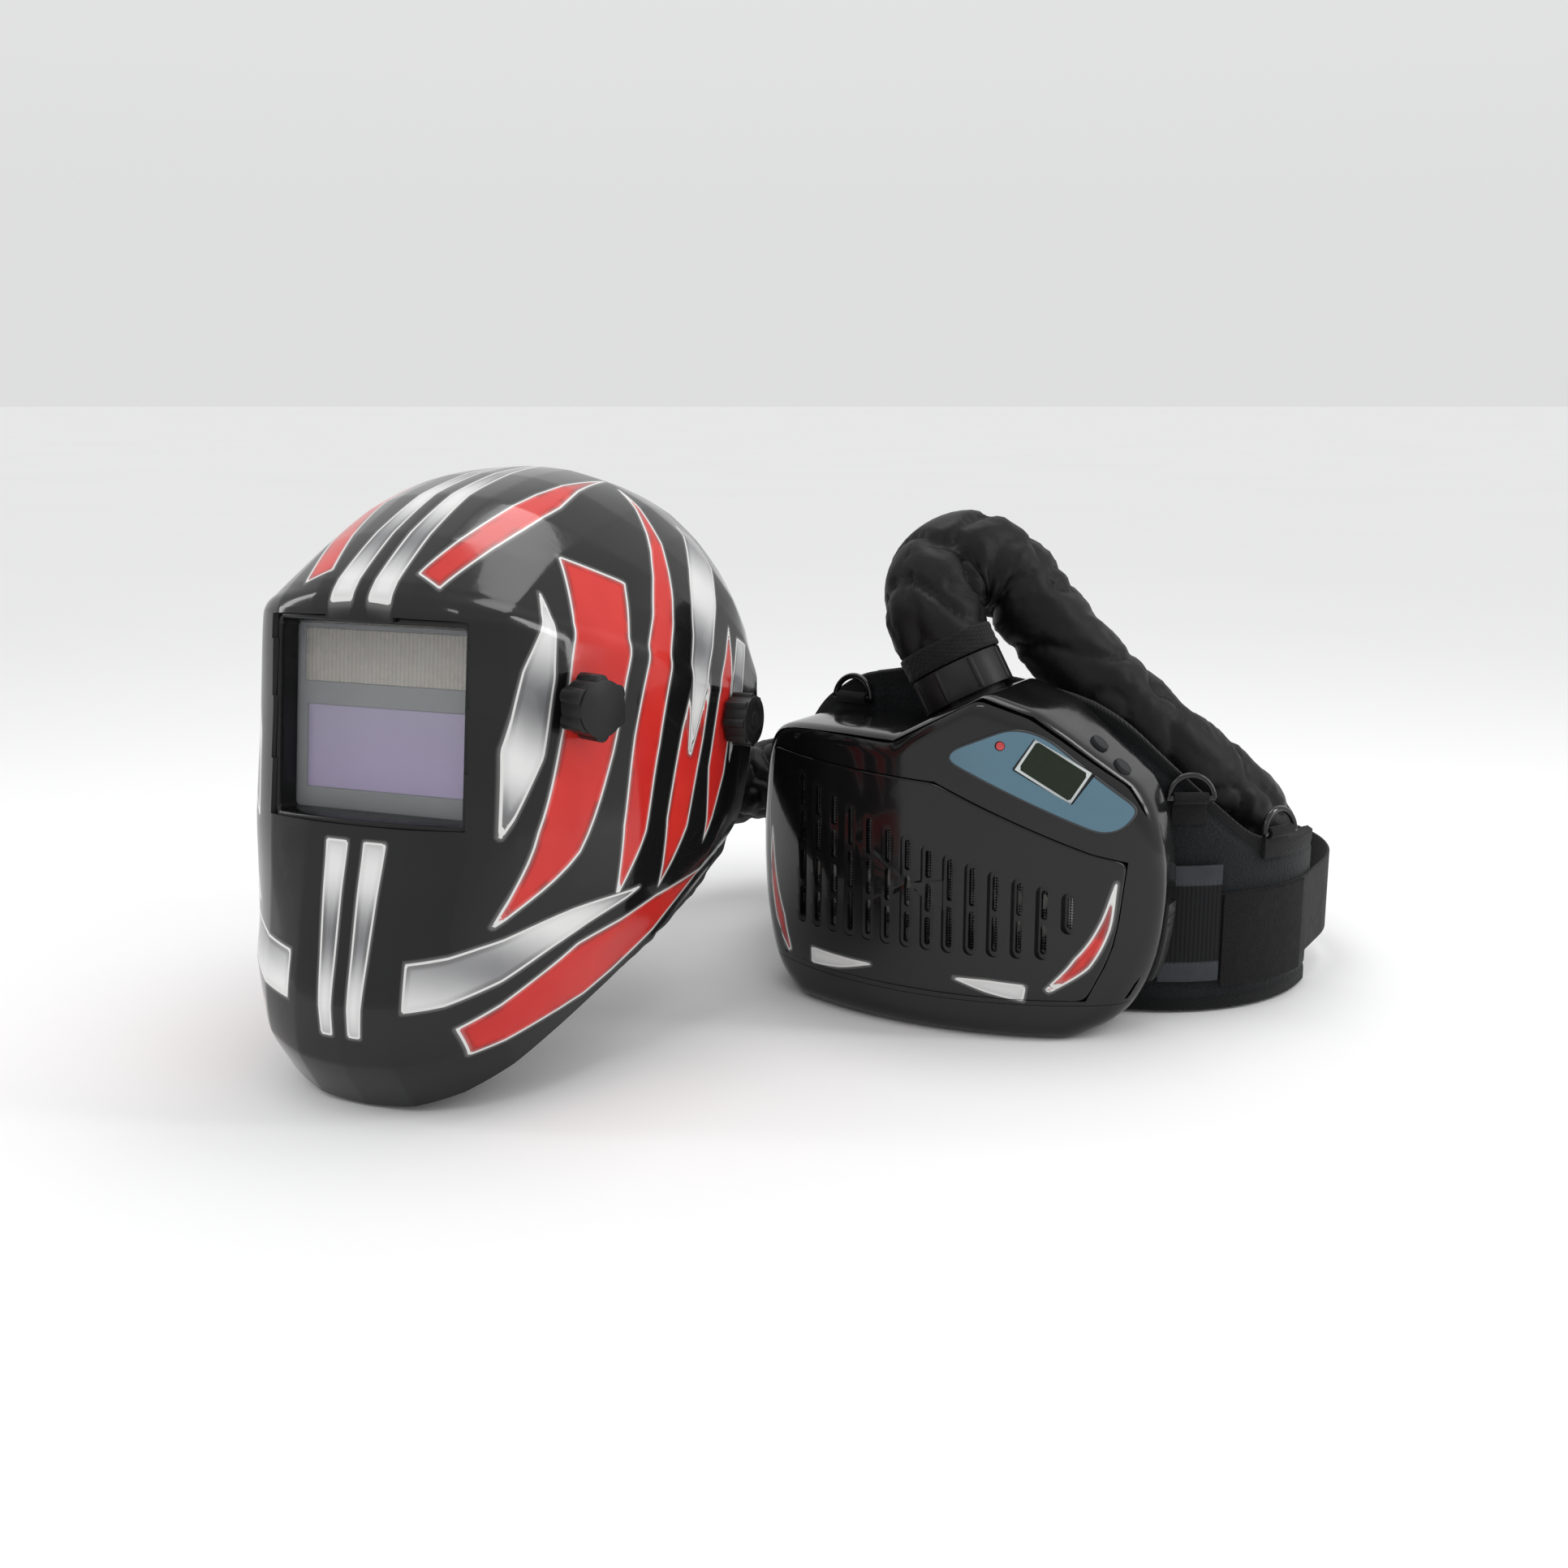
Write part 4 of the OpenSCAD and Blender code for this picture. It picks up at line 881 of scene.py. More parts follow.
def rrect(hx, hz, r, n=6, cx=0, cz=0):
    out = []
    for sx, sz, a0 in ((1, 1, 0), (-1, 1, 90), (-1, -1, 180), (1, -1, 270)):
        for k in range(n + 1):
            a = math.radians(a0 + 90 * k / n)
            out.append((cx + sx * (hx - r) + r * math.cos(a), cz + sz * (hz - r) + r * math.sin(a)))
    return out


boolean(panel, prism("p1", lcd_xz(rrect(17.9, 10.4, 1.0)), -80, 0))
circ = [(50 + 2.75 * math.cos(t), 168 + 2.75 * math.sin(t)) for t in np.linspace(0, 2 * math.pi, 24, endpoint=False)]
boolean(panel, prism("p2", circ, -80, 0))
q = coords(panel)[:, [0, 2]]
put_attr(panel, "drim", sdf(q, pr_))
sharp_by_angle(panel, 30)
finish_piece(panel, "control_panel")

# display: its front plate refined so that the frame line is crisp
disp = tidy_copy("display_module")
bm = bmesh.new()
bm.from_mesh(disp.data)
bmesh.ops.triangulate(bm, faces=bm.faces)
bmesh.ops.subdivide_edges(bm, edges=bm.edges, cuts=11, use_grid_fill=True)
bm.to_mesh(disp.data)
bm.free()
disp.data.materials.clear()
disp.data.materials.append(M["display"].m)
c = coords(disp)
fy77 = float(face_y(77))
ay = math.asin((77 - CX) / FR)
dx, dy = c[:, 0] - 77, c[:, 1] - fy77
xl = dx * math.cos(ay) + dy * math.sin(ay)
zl = c[:, 2] - 154.5
a = math.radians(32)
xa, za = xl * math.cos(a) - zl * math.sin(a), xl * math.sin(a) + zl * math.cos(a)
put_attr(disp, "dframe", np.maximum(np.abs(xa) - 16.6, np.abs(za) - 9.1))
sharp_by_angle(disp, 30)
finish_piece(disp, "display_module")

for nd, mt, w in (("alarm_light", "led", 0.5), ("power_button", "button", 0.6), ("airflow_button", "button", 0.6), ("outlet_port", "collar", 0.4),
                  ("hose_collar", "collar", 0.7), ("cover_latch_left", "plastic", 0.5), ("cover_latch_right", "plastic", 0.5), ("belt_plate", "plastic", 0.8),
                  ("housing_screws", "steel", 0.25), ("buckle_female", "buckle", 0.8), ("buckle_male", "buckle", 0.7), ("d_ring_tabs", "tabs", 0.4),
                  ("lens_bezel", "bezel", 1.0), ("filter_cartridge", "cartridge", 0.4), ("shade_knob", "knob", 1.4), ("shade_pot", "innerplastic", 0.4),
                  ("sensitivity_knob", "knob", 0.4), ("delay_knob", "knob", 0.4), ("grind_button", "grind", 0.4), ("headband", "plastic", 0.5),
                  ("nape_cradle", "plastic", 0.5), ("ratchet_knob", "knob", 0.8), ("tension_knob_left", "knob", 1.0), ("tension_knob_right", "knob", 1.0),
                  ("air_duct", "plastic", 0.8), ("battery_contacts", "brass", 0.3), ("fan_volute", "innerplastic", 0.4), ("impeller", "impeller", 0.15)):
    if nd in ("lens_bezel",):
        continue
    soften(nd, M[mt].m, w)

for nd, mt in (("spark_arrestor", "mesh"), ("prefilter", "media"), ("particle_filter", "media"), ("filter_gasket", "rubber"), ("inner_chassis", "innerplastic"),
               ("fan_motor", "motor"), ("control_board", "board"), ("battery_cells", "cells"), ("breathing_hose", "hose"), ("cover_lens", "cover"),
               ("d_ring_left", "ring"), ("d_ring_middle", "ring"), ("d_ring_right", "ring")):
    o = frame["nodes"][nd]
    o.data.materials.clear()
    o.data.materials.append(M[mt].m)

# ------------------------------------------------------------------ belt
HX, RR, SS, PT = 68.0, 105.0, 36.0, 9.0
pad_top = np.array([[-200, 93], [-176, 96], [-158, 103], [-140, 125], [-116, 150], [-93, 172], [-69, 186], [-40, 195], [24, 193], [69, 184], [93, 172], [116, 150], [140, 125], [158, 103], [176, 96], [200, 93]], float)
pad_top = np.array([[-200, 93], [-176, 96], [-158, 103], [-140, 125], [-110, 168], [-81, 187], [-40, 195], [24, 193], [69, 184], [93, 172], [116, 150], [140, 125], [158, 103], [176, 96], [200, 93]], float)


def loop_base(y_end=149.0, step=2.5, a_from=None, s_side=None):
    """Points on the loop's centre line of corners: position, outward normal, for the whole front half."""
    P, N = [], []
    for y in np.arange(y_end, 133, -step):
        P.append((-HX, y, 1)); N.append((-1, 0))
    for a in np.arange(90, 0, -1.4):
        P.append((-HX, 133, 0)); N.append((-math.sin(math.radians(a)), -math.cos(math.radians(a))))
    for x in np.arange(-HX, HX + 0.1, step):
        P.append((x, 133, 0)); N.append((0, -1))
    for a in np.arange(1.4, 90, 1.4):
        P.append((HX, 133, 0)); N.append((math.sin(math.radians(a)), -math.cos(math.radians(a))))
    for y in np.arange(133, y_end + 0.1, step):
        P.append((HX, y, 1)); N.append((1, 0))
    return np.array(P, float)[:, :2], np.array(N, float)


P0, N0 = loop_base()
mid = P0 + N0 * (RR - PT / 2)
sl = np.r_[0, np.cumsum(np.linalg.norm(np.diff(mid, axis=0), axis=1))]
tops = np.interp((P0 + N0 * RR)[:, 0], pad_top[:, 0], pad_top[:, 1])
tops = np.convolve(np.pad(tops, 4, mode="edge"), np.ones(9) / 9, "valid")


def pad_mesh():
    nz = 56
    V_, pu, pv, ed = [], [], [], []
    hs = PT / 2 - 0.12
    for i in range(len(mid)):
        H = tops[i]
        front_run = abs(P0[i, 0]) < 63 and N0[i, 1] < -0.99
        end_t = min(1.0, min(sl[i], sl[-1] - sl[i]) / 5.0)
        end_k = math.sqrt(max(0.04, 1 - (1 - end_t) ** 2))
        prof = []
        zs = np.linspace(0, 1, nz)
        r0 = hs
        for z in zs:
            zz = r0 + (H - 2 * r0) * z
            prof.append((1, zz))
        for t in np.linspace(0, math.pi, 9)[1:-1]:
            prof.append((math.cos(t), H - r0 + r0 * math.sin(t)))
        for z in zs[::-1]:
            prof.append((-1, r0 + (H - 2 * r0) * z))
        for t in np.linspace(0, math.pi, 9)[1:-1]:
            prof.append((-math.cos(t), r0 - r0 * math.sin(t)))
        for side, z in prof:
            eb = min(H - z, z)
            seam = math.exp(-((eb - 10.5) / 1.3) ** 2)
            quilt = 1.0
            for sv in np.arange(40, sl[-1], 62.0):
                quilt *= 1 - 0.9 * math.exp(-((sl[i] - sv) / 2.0) ** 2)
            crown = min(1.0, max(0.0, (eb - 10) / 14.0)) ** 0.6 * quilt
            wrk = noise.noise(Vector((sl[i] / 26.0, z / 19.0, 3.0 * side)))
            if side < -0.5:   # inner face, free to swell
                off = -(hs - 0.9 * seam + 1.6 * crown + 0.5 * wrk * crown)
            elif side > 0.5:  # outer face, held flat under the webbing and plate
                lift = 0.0 if front_run else min(1.0, max(0.0, (z - 94) / 14.0))
                off = hs - 0.9 * seam + (1.9 * crown + 0.6 * wrk * crown) * lift - 0.15
            else:
                off = hs * side
            off *= end_k
            if eb < 9:
                off += 0.22 * np.sign(side) * (0 if (front_run or (side > 0 and z < 90)) else 1)
            p = mid[i] + N0[i] * off
            V_.append((p[0], p[1], max(z, 0.15)))
            pu.append(sl[i]); pv.append(z); ed.append(eb)
    m_ = len(prof)
    n = len(mid)
    F = [(i * m_ + j, i * m_ + (j + 1) % m_, (i + 1) * m_ + (j + 1) % m_, (i + 1) * m_ + j) for i in range(n - 1) for j in range(m_)]
    F.append(tuple(range(m_ - 1, -1, -1)))
    F.append(tuple((n - 1) * m_ + j for j in range(m_)))
    ob = make("waist_pad_cushion", V_, F, [M["pad"].m])
    bm = bmesh.new()
    bm.from_mesh(ob.data)
    bmesh.ops.recalc_face_normals(bm, faces=bm.faces)
    bm.to_mesh(ob.data)
    bm.free()
    put_attr(ob, "pu", pu); put_attr(ob, "pv", pv); put_attr(ob, "edge", ed)
    return ob


pad = pad_mesh()
finish_piece(pad, "waist_pad")


def strap(name, line, nrm, z0, z1, thick, mat, edge_r=0.6, ribs=0.0, rib_mm=2.6, wav=0.0, closed_ends=True, seed=0, bead=0.0):
    """A flat band along a line. nrm is the outward normal. The pv attribute is the height above z0."""
    line, nrm = np.asarray(line, float), np.asarray(nrm, float)
    s = np.r_[0, np.cumsum(np.linalg.norm(np.diff(line, axis=0), axis=1))]
    nz = max(8, int((z1 - z0) / 2.0))
    h = thick / 2
    V_, pu, pv = [], [], []
    for i in range(len(line)):
        w = wav * noise.noise(Vector((s[i] / 45.0, seed, 0)))
        rb = ribs * 0.5 * (1 + math.sin(2 * math.pi * s[i] / rib_mm)) if ribs else 0.0
        prof = []
        for z in np.linspace(z0 + edge_r, z1 - edge_r, nz):
            inrib = ribs and (z0 + 12.5 < z < z1 - 12.5)
            prof.append((h - (rb if inrib else 0.0), z))
        prof += [(h * 0.7, z1 - edge_r * 0.3), (0, z1), (-h * 0.7, z1 - edge_r * 0.3)]
        prof += [(-h, z) for z in np.linspace(z1 - edge_r, z0 + edge_r, nz)]
        prof += [(-h * 0.7, z0 + edge_r * 0.3), (0, z0), (h * 0.7, z0 + edge_r * 0.3)]
        for o, z in prof:
            eb = min(z - z0, z1 - z)
            oo = o + (bead if (eb < 2.2 and o > 0) else 0)
            p = line[i] + nrm[i] * (oo + w)
            V_.append((p[0], p[1], z)); pu.append(s[i]); pv.append(z - z0)
    m_ = len(prof)
    n = len(line)
    F = [(i * m_ + j, i * m_ + (j + 1) % m_, (i + 1) * m_ + (j + 1) % m_, (i + 1) * m_ + j) for i in range(n - 1) for j in range(m_)]
    F.append(tuple(range(m_ - 1, -1, -1)))
    F.append(tuple((n - 1) * m_ + j for j in range(m_)))
    ob = make(name, V_, F, [mat])
    bm = bmesh.new()
    bm.from_mesh(ob.data)
    bmesh.ops.recalc_face_normals(bm, faces=bm.faces)
    bm.to_mesh(ob.data)
    bm.free()
    put_attr(ob, "pu", pu); put_attr(ob, "pv", pv)
    sharp_by_angle(ob, 50)
    return ob


def web_line(s, r, a0=4.0, x_end=None):
    L, N_ = [], []
    for a in np.arange(a0, 90, 1.5):
        t = math.radians(a)
        L.append((s * (HX + r * math.sin(t)), 133 - r * math.cos(t))); N_.append((s * math.sin(t), -math.cos(t)))
    for y in np.arange(133, 133 + SS, 3):
        L.append((s * (HX + r), y)); N_.append((s, 0))
    for a in np.arange(90, 180, 1.5):
        t = math.radians(a)
        L.append((s * (HX + r * math.sin(t)), 133 + SS - r * math.cos(t))); N_.append((s * math.sin(t), -math.cos(t)))
    xe = 9 if s > 0 else -31
    for x in np.linspace(s * HX, xe, 22):
        L.append((x, 133 + SS + r)); N_.append((0, 1))
    return L, N_


for s_, nm in ((-1, "webbing_left"), (1, "webbing_right")):
    L, N_ = web_line(s_, RR + 1.2)
    finish_piece(strap(nm + "_strap", L, N_, 22, 72, 1.7, M["webbing"].m, seed=s_), nm)


def arc_line(s, r, a0, a1, step=0.5):
    t = np.radians(np.arange(a0, a1 + 1e-6, step))
    return [(s * (HX + r * math.sin(x)), 133 - r * math.cos(x)) for x in t], [(s * math.sin(x), -math.cos(x)) for x in t]


def join(obs, name):
    base = obs[0]
    bm = bmesh.new()
    for o in obs:
        bm.from_mesh(o.data)
    me = bpy.data.meshes.new(name)
    me.materials.append(base.data.materials[0])
    bm.to_mesh(me)
    bm.free()
    for o in obs:
        bpy.data.objects.remove(o)
    return link(bpy.data.objects.new(name, me))


el = [strap("e%d" % k, *arc_line(s_, RR + 3.3, 26, 45, 0.22), 20, 90, 1.75, M["elastic"].m, ribs=0.7) for k, s_ in enumerate((-1, 1))]
finish_piece(join(el, "belt_panels_elastic"), "belt_panels")
hk = [strap("h%d" % k, *arc_line(s_, RR + 3.3, 46, 82), 16, 72, 1.55, M["hook"].m, wav=0.0, bead=0.2) for k, s_ in enumerate((-1, 1))]
finish_piece(join(hk, "hook_panels_pile"), "hook_panels")

# ------------------------------------------------------------------ helmet
HR = rot("Z", 9)
HT = np.array([-212, -133, 0.0])


def H(p):
    return np.asarray(p, float) @ HR.T + HT


def Hinv(p):
    return (np.asarray(p, float) - HT) @ HR


WR = rot("X", -6.7)


def W(p):
    return np.asarray(p, float) @ WR.T + np.array([0, -139.5, 194.5])


def Winv(p):
    return (np.asarray(p, float) - np.array([0, -139.5, 194.5])) @ WR


net = np.array([
    [[0, 56, 306], [25, 56, 304], [48, 56, 298], [68, 57, 287], [84, 59, 272], [96, 62, 255], [104, 66, 238], [110, 69, 220], [112, 71, 205]],
    [[0, 15, 315], [26, 15, 313], [51, 16, 306], [72, 20, 294], [90, 28, 277], [102, 38, 259], [110, 50, 240], [113, 61, 220], [114, 71, 201]],
    [[0, -30, 313], [27, -29, 311], [52, -26, 304], [73, -18, 291], [91, -4, 275], [104, 14, 256], [112, 33, 237], [116, 53, 217], [115, 72, 197]],
    [[0, -75, 304], [27, -73, 302], [51, -68, 294], [72, -57, 282], [91, -38, 267], [105, -12, 249], [113, 14, 231], [117, 43, 212], [116, 72, 192]],
    [[0, -115, 287], [27, -113, 285], [50, -107, 279], [70, -94, 269], [88, -70, 256], [104, -38, 241], [114, -4, 224], [118, 34, 206], [116, 72, 186]],
    [[0, -147, 266], [27, -146, 265], [51, -139, 261], [70, -125, 255], [86, -98, 245], [102, -60, 231], [114, -18, 214], [119, 27, 196], [116, 72, 178]],
    [[0, -156, 252], [28, -155, 251], [52, -150, 250], [71, -137, 246], [88, -106, 236], [104, -67, 223], [116, -22, 205], [120, 23, 187], [115, 70, 170]],
    [[0, -160, 200], [29, -159, 200], [54, -154, 200], [74, -140, 198], [92, -110, 193], [107, -71, 182], [117, -28, 170], [120, 20, 159], [114, 66, 149]],
    [[0, -167, 143], [30, -166, 143], [56, -160, 143], [77, -145, 142], [96, -113, 139], [111, -74, 133], [118, -32, 128], [119, 14, 123], [112, 58, 118]],
    [[0, -176, 113], [29, -174, 113], [54, -166, 113], [75, -149, 113], [95, -118, 112], [109, -80, 110], [116, -38, 109], [116, 8, 108], [110, 50, 107]],
    [[0, -183, 86], [28, -181, 86], [53, -171, 87], [73, -153, 88], [91, -123, 90], [106, -86, 92], [112, -44, 95], [113, 1, 98], [108, 41, 100]],
    [[0, -190, 58], [28, -187, 59], [53, -177, 62], [73, -157, 67], [90, -126, 73], [103, -89, 80], [109, -49, 86], [110, -6, 91], [106, 33, 95]],
    [[0, -188, 28], [28, -186, 30], [53, -175, 35], [72, -154, 43], [87, -124, 54], [99, -88, 66], [106, -50, 76], [108, -9, 84], [105, 29, 90]],
    [[0, -171, 1], [28, -169, 3], [52, -160, 11], [70, -142, 22], [84, -116, 37], [97, -84, 54], [104, -50, 67], [106, -13, 78], [104, 25, 86]]], float)


def dense(p, n, crease, mirror=False):
    """Rounded between the net's lines, and partly straight, so that they read as soft creases."""
    a = cr_open(p, n, mirror)
    b = []
    for i in range(len(p) - 1):
        for k in range(n):
            b.append(p[i] * (1 - k / n) + p[i + 1] * k / n)
    b.append(p[-1])
    return a * (1 - crease) + np.array(b) * crease


NC, NR_ = 16, 18
CREASE = 0.45
rows_ = np.array([dense(r, NC, CREASE, True) for r in net])
cols_ = np.array([dense(rows_[:, j], NR_, CREASE) for j in range(rows_.shape[1])]).transpose(1, 0, 2)
grid = np.concatenate([cols_[:, :0:-1] * [-1, 1, 1], cols_], 1)
R_, C_ = grid.shape[:2]
gp = grid.reshape(-1, 3)
cen = (grid[:-1, :-1] + grid[1:, :-1] + grid[:-1, 1:] + grid[1:, 1:]) / 4
wl = Winv(cen.reshape(-1, 3)).reshape(cen.shape)
hole = (np.abs(wl[..., 0]) < 57.0) & (np.abs(wl[..., 2]) < 51.0) & (cen[..., 1] < -120)
kp = np.array([92, -106, 203.0])
hole |= np.linalg.norm(cen - kp, axis=2) < 6.5
for sx in (-1, 1):
    hole |= (np.hypot(cen[..., 1] - 24, cen[..., 2] - 176) < 5.6) & (cen[..., 0] * sx > 80)
F = []
for i in range(R_ - 1):
    for j in range(C_ - 1):
        if not hole[i, j]:
            F.append((i * C_ + j, (i + 1) * C_ + j, (i + 1) * C_ + j + 1, i * C_ + j + 1))
shell = make("helmet_shell_paint", H(gp), F, [M["shell"].m, M["inner"].m])
bm = bmesh.new()
bm.from_mesh(shell.data)
loose = [v for v in bm.verts if not v.link_faces]
bmesh.ops.delete(bm, geom=loose, context="VERTS")
bm.to_mesh(shell.data)
bm.free()

# the decoration: plain tapered stripes, and twin stripes over the crown and down the chin, as outlines in each zone's plane
side_red = [
    blade([(14, 304), (-16, 264), (-42, 222), (-62, 178), (-78, 134), (-92, 100)], [0, 6, 9, 10, 8, 0]),
    blade([(-66, 266), (-86, 226), (-102, 182), (-124, 136), (-156, 98)], [17, 18, 16, 12, 0]),
    blade([(24, 262), (0, 220), (-22, 174), (-42, 130), (-56, 98)], [0, 8, 11, 10, 0]),
    blade([(34, 226), (18, 188), (4, 150), (-10, 112)], [0, 9, 10, 0]),
    blade([(0, 94), (-54, 82), (-110, 66), (-170, 42)], [0, 11, 16, 8])]
side_sil = [
    blade([(-108, 258), (-124, 220), (-136, 182), (-150, 142)], [0, 8, 9, 0]),
    blade([(40, 276), (14, 246), (-8, 208), (-26, 166)], [9, 12, 9, 0]),
    blade([(48, 216), (34, 186), (22, 152)], [6, 9, 0]),
    blade([(-74, 102), (-118, 94), (-158, 80), (-194, 66)], [0, 6, 9, 10])]
front_sil = [[(5, 138), (17, 138), (11, 44), (5, 44)], [(-5, 138), (-17, 138), (-11, 44), (-5, 44)]]
top_sil = [[(5, -154), (17, -154), (13, -30), (5, 40)], [(-5, -154), (-17, -154), (-13, -30), (-5, 40)]]
top_red = [blade([(32, -142), (42, -100), (48, -50), (48, 14)], [7, 7.5, 7, 0]), blade([(-32, -142), (-42, -100), (-48, -50), (-48, 14)], [7, 7.5, 7, 0])]

hp = Hinv(coords(shell))
far = 30.0
n_ = len(hp)
x, y, z = np.abs(hp[:, 0]), hp[:, 1], hp[:, 2]
q = np.stack([y, z], 1)
sr = np.min([sdf(q, p) for p in side_red], 0)
ss = np.min([sdf(q, p) for p in side_sil], 0)
sr = np.maximum(sr, 1.6 - ss)
qf = np.stack([hp[:, 0], z], 1)
qt = np.stack([hp[:, 0], y], 1)
fr_, fs_ = np.full(n_, far), np.min([sdf(qf, p) for p in front_sil], 0)
tr_, ts_ = np.min([sdf(qt, p) for p in top_red], 0), np.min([sdf(qt, p) for p in top_sil], 0)
zone = np.minimum(58 - x, np.maximum(34 - x, z - 96))      # negative on the sides, so a streak ends with an outline there
d_red = np.minimum.reduce([np.maximum(sr, zone), np.maximum.reduce([fr_, -zone, z - 150]), np.maximum.reduce([tr_, -zone, 240 - z])])
d_sil = np.minimum.reduce([np.maximum(ss, zone), np.maximum.reduce([fs_, -zone, z - 150]), np.maximum.reduce([ts_, -zone, 240 - z])])
d_blk = np.full(n_, far)
put_attr(shell, "d_red", d_red)
put_attr(shell, "d_sil", d_sil)
put_attr(shell, "d_blk", d_blk)
m = shell.modifiers.new("wall", "SOLIDIFY")
m.thickness, m.offset, m.material_offset, m.material_offset_rim, m.use_even_offset = 3 * MM, -1, 1, 1, False
apply_mods(shell)
sharp_by_angle(shell, 60)
finish_piece(shell, "helmet_shell")

# window bezel: a tapered frame with soft corners, its lip over the shell's cut edge
def bezel_y(x, o):
    """The frame's front follows the shell's bow; o is the depth behind it."""
    return 168 - np.sqrt(188.0 ** 2 - np.asarray(x, float) ** 2) + o


def loft_frame(name, sections, place, mats, corner=5, run=10):
    """sections: (half width, half height, corner radius, depth, follows the front), from the outer side round to the back."""
    V_ = []
    for hx, hz, r, yy, fol in sections:
        q = np.array(rrect(hx, hz, r, corner))
        nxt = np.roll(q, -1, 0)
        w = []
        for a_, b_ in zip(q, nxt):      # the long sides are split, so that they bend
            k_ = run if np.linalg.norm(b_ - a_) > 30 else 1
            w += [a_ + (b_ - a_) * t_ / k_ for t_ in range(k_)]
        w = np.array(w)
        yv = bezel_y(w[:, 0], yy) if fol else np.full(len(w), yy)
        V_ += list(zip(w[:, 0], yv, w[:, 1]))
    n = len(V_) // len(sections)
    m_ = len(sections)
    F = [(i * n + k, ((i + 1) % m_) * n + k, ((i + 1) % m_) * n + (k + 1) % n, i * n + (k + 1) % n) for i in range(m_) for k in range(n)]
    ob = make(name, place(V_), F, mats)
    bm = bmesh.new()
    bm.from_mesh(ob.data)
    bmesh.ops.recalc_face_normals(bm, faces=bm.faces)
    bm.to_mesh(ob.data)
    bm.free()
    return ob


bez = loft_frame("lens_bezel_frame", [(58.6, 52.6, 2.5, 0.0, 0), (58.6, 52.6, 2.5, 1.0, 1), (58.3, 52.3, 2.5, 0.3, 1), (57.6, 51.6, 2.5, 0.0, 1), (55.4, 50.0, 3, 0.0, 1), (54.6, 49.3, 3, 0.3, 1),
                                      (54.0, 48.8, 3, 1.1, 1), (52.9, 47.8, 3, 7.0, 1), (52.3, 47.25, 2.6, -2.4, 0), (52.05, 47.05, 2.5, -0.6, 0), (52.0, 47.0, 2.5, 0.0, 0)],
                 lambda v: H(W(v)), [M["bezel"].m])
sharp_by_angle(bez, 40)
finish_piece(bez, "lens_bezel")


def plate(name, lo, hi, r, mat, cells, node, gx=True):
    """A thin rounded plate in the window's frame, with a fine front."""
    cx, cz = (lo[0] + hi[0]) / 2, (lo[2] + hi[2]) / 2
    hx, hz = (hi[0] - lo[0]) / 2, (hi[2] - lo[2]) / 2
    secs = [(hx - 8, hz - 8, max(r - 1, 0.4), lo[1]), (hx - 0.4, hz - 0.4, r, lo[1]), (hx, hz, r, lo[1] + 0.4), (hx, hz, r, hi[1] - 0.2), (hx - 0.2, hz - 0.2, r, hi[1]), (hx - 8, hz - 8, max(r - 1, 0.4), hi[1])]
    V_, n = [], 4 * 6
    for a_, b_, rr, yy in secs:
        V_ += [(cx + p, yy, cz + q_) for p, q_ in rrect(a_, b_, rr, 5)]
    m_ = len(secs)
    F = [(i * n + k, (i + 1) * n + k, (i + 1) * n + (k + 1) % n, i * n + (k + 1) % n) for i in range(m_ - 1) for k in range(n)]
    F.append(tuple(range(n)))
    F.append(tuple((m_ - 1) * n + k for k in range(n - 1, -1, -1)))
    ob = make(name, H(W(V_)), F, [mat])
    bm = bmesh.new()
    bm.from_mesh(ob.data)
    bmesh.ops.recalc_face_normals(bm, faces=bm.faces)
    bm.to_mesh(ob.data)
    bm.free()
    v = np.array(V_)
    put_attr(ob, "gx", v[:, 0])
    put_attr(ob, "gz", (v[:, 2] - lo[2]) / (hi[2] - lo[2]))
    sharp_by_angle(ob, 30)
    finish_piece(ob, node)
    return ob


plate("filter_glass_pane", (-47, 2.6, -37), (47, 5.4, 5.6), 1.2, M["glass"].m, 0, "filter_glass")
plate("solar_cell_pane", (-49, 2.6, 17.4), (49, 4.4, 44.6), 1.0, M["solar"].m, 0, "solar_cell")

# face seal: cloth from the shell's edge in towards the neck, bulging and pleated
seal_out = np.array([[109, 74, 196], [110, 74, 168], [107, 67, 142], [104, 54, 114], [102, 38, 101], [99, 25, 91], [99, -12, 83], [97, -46, 73], [90, -80, 61], [78, -110, 45], [64, -134, 31], [47, -151, 20], [24, -160, 13], [0, -162, 11]], float)
seal_in = np.array([[99, 99, 196], [100, 101, 166], [98, 96, 136], [96, 82, 106], [92, 64, 84], [88, 46, 70], [84, 18, 58], [80, -14, 48], [72, -44, 38], [60, -70, 28], [46, -88, 20], [30, -100, 14], [15, -105, 10], [0, -107, 9]], float)


def seal_full(a):
    h = cr_open(a, 12)
    return np.vstack([h, h[-2::-1] * [-1, 1, 1]])


so, si = seal_full(seal_out), seal_full(seal_in)
K = 20
rowsS = []
arc = np.r_[0, np.cumsum(np.linalg.norm(np.diff(so, axis=0), axis=1))]
for k in range(K + 1):
    t = k / K
    row = so * (1 - t) + si * t
    b = math.sin(math.pi * t)
    sgn = np.where(row[:, 0] >= 0, 1.0, -1.0) * (np.abs(row[:, 0]) > 20)
    pl = np.array([noise.noise(Vector((s_ / 11.0, t * 1.5, 7))) for s_ in arc])
    row = row + np.stack([sgn * b * (2.4 + 1.2 * pl), b * pl * 0.8, -b * (3.0 + 1.6 * pl)], 1)
    rowsS.append(row)
G = np.array(rowsS)
Rn, Cn = G.shape[:2]
Fs = [(i * Cn + j, i * Cn + j + 1, (i + 1) * Cn + j + 1, (i + 1) * Cn + j) for i in range(Rn - 1) for j in range(Cn - 1)]
seal = make("face_seal_cloth", H(G.reshape(-1, 3)), Fs, [M["seal"].m])
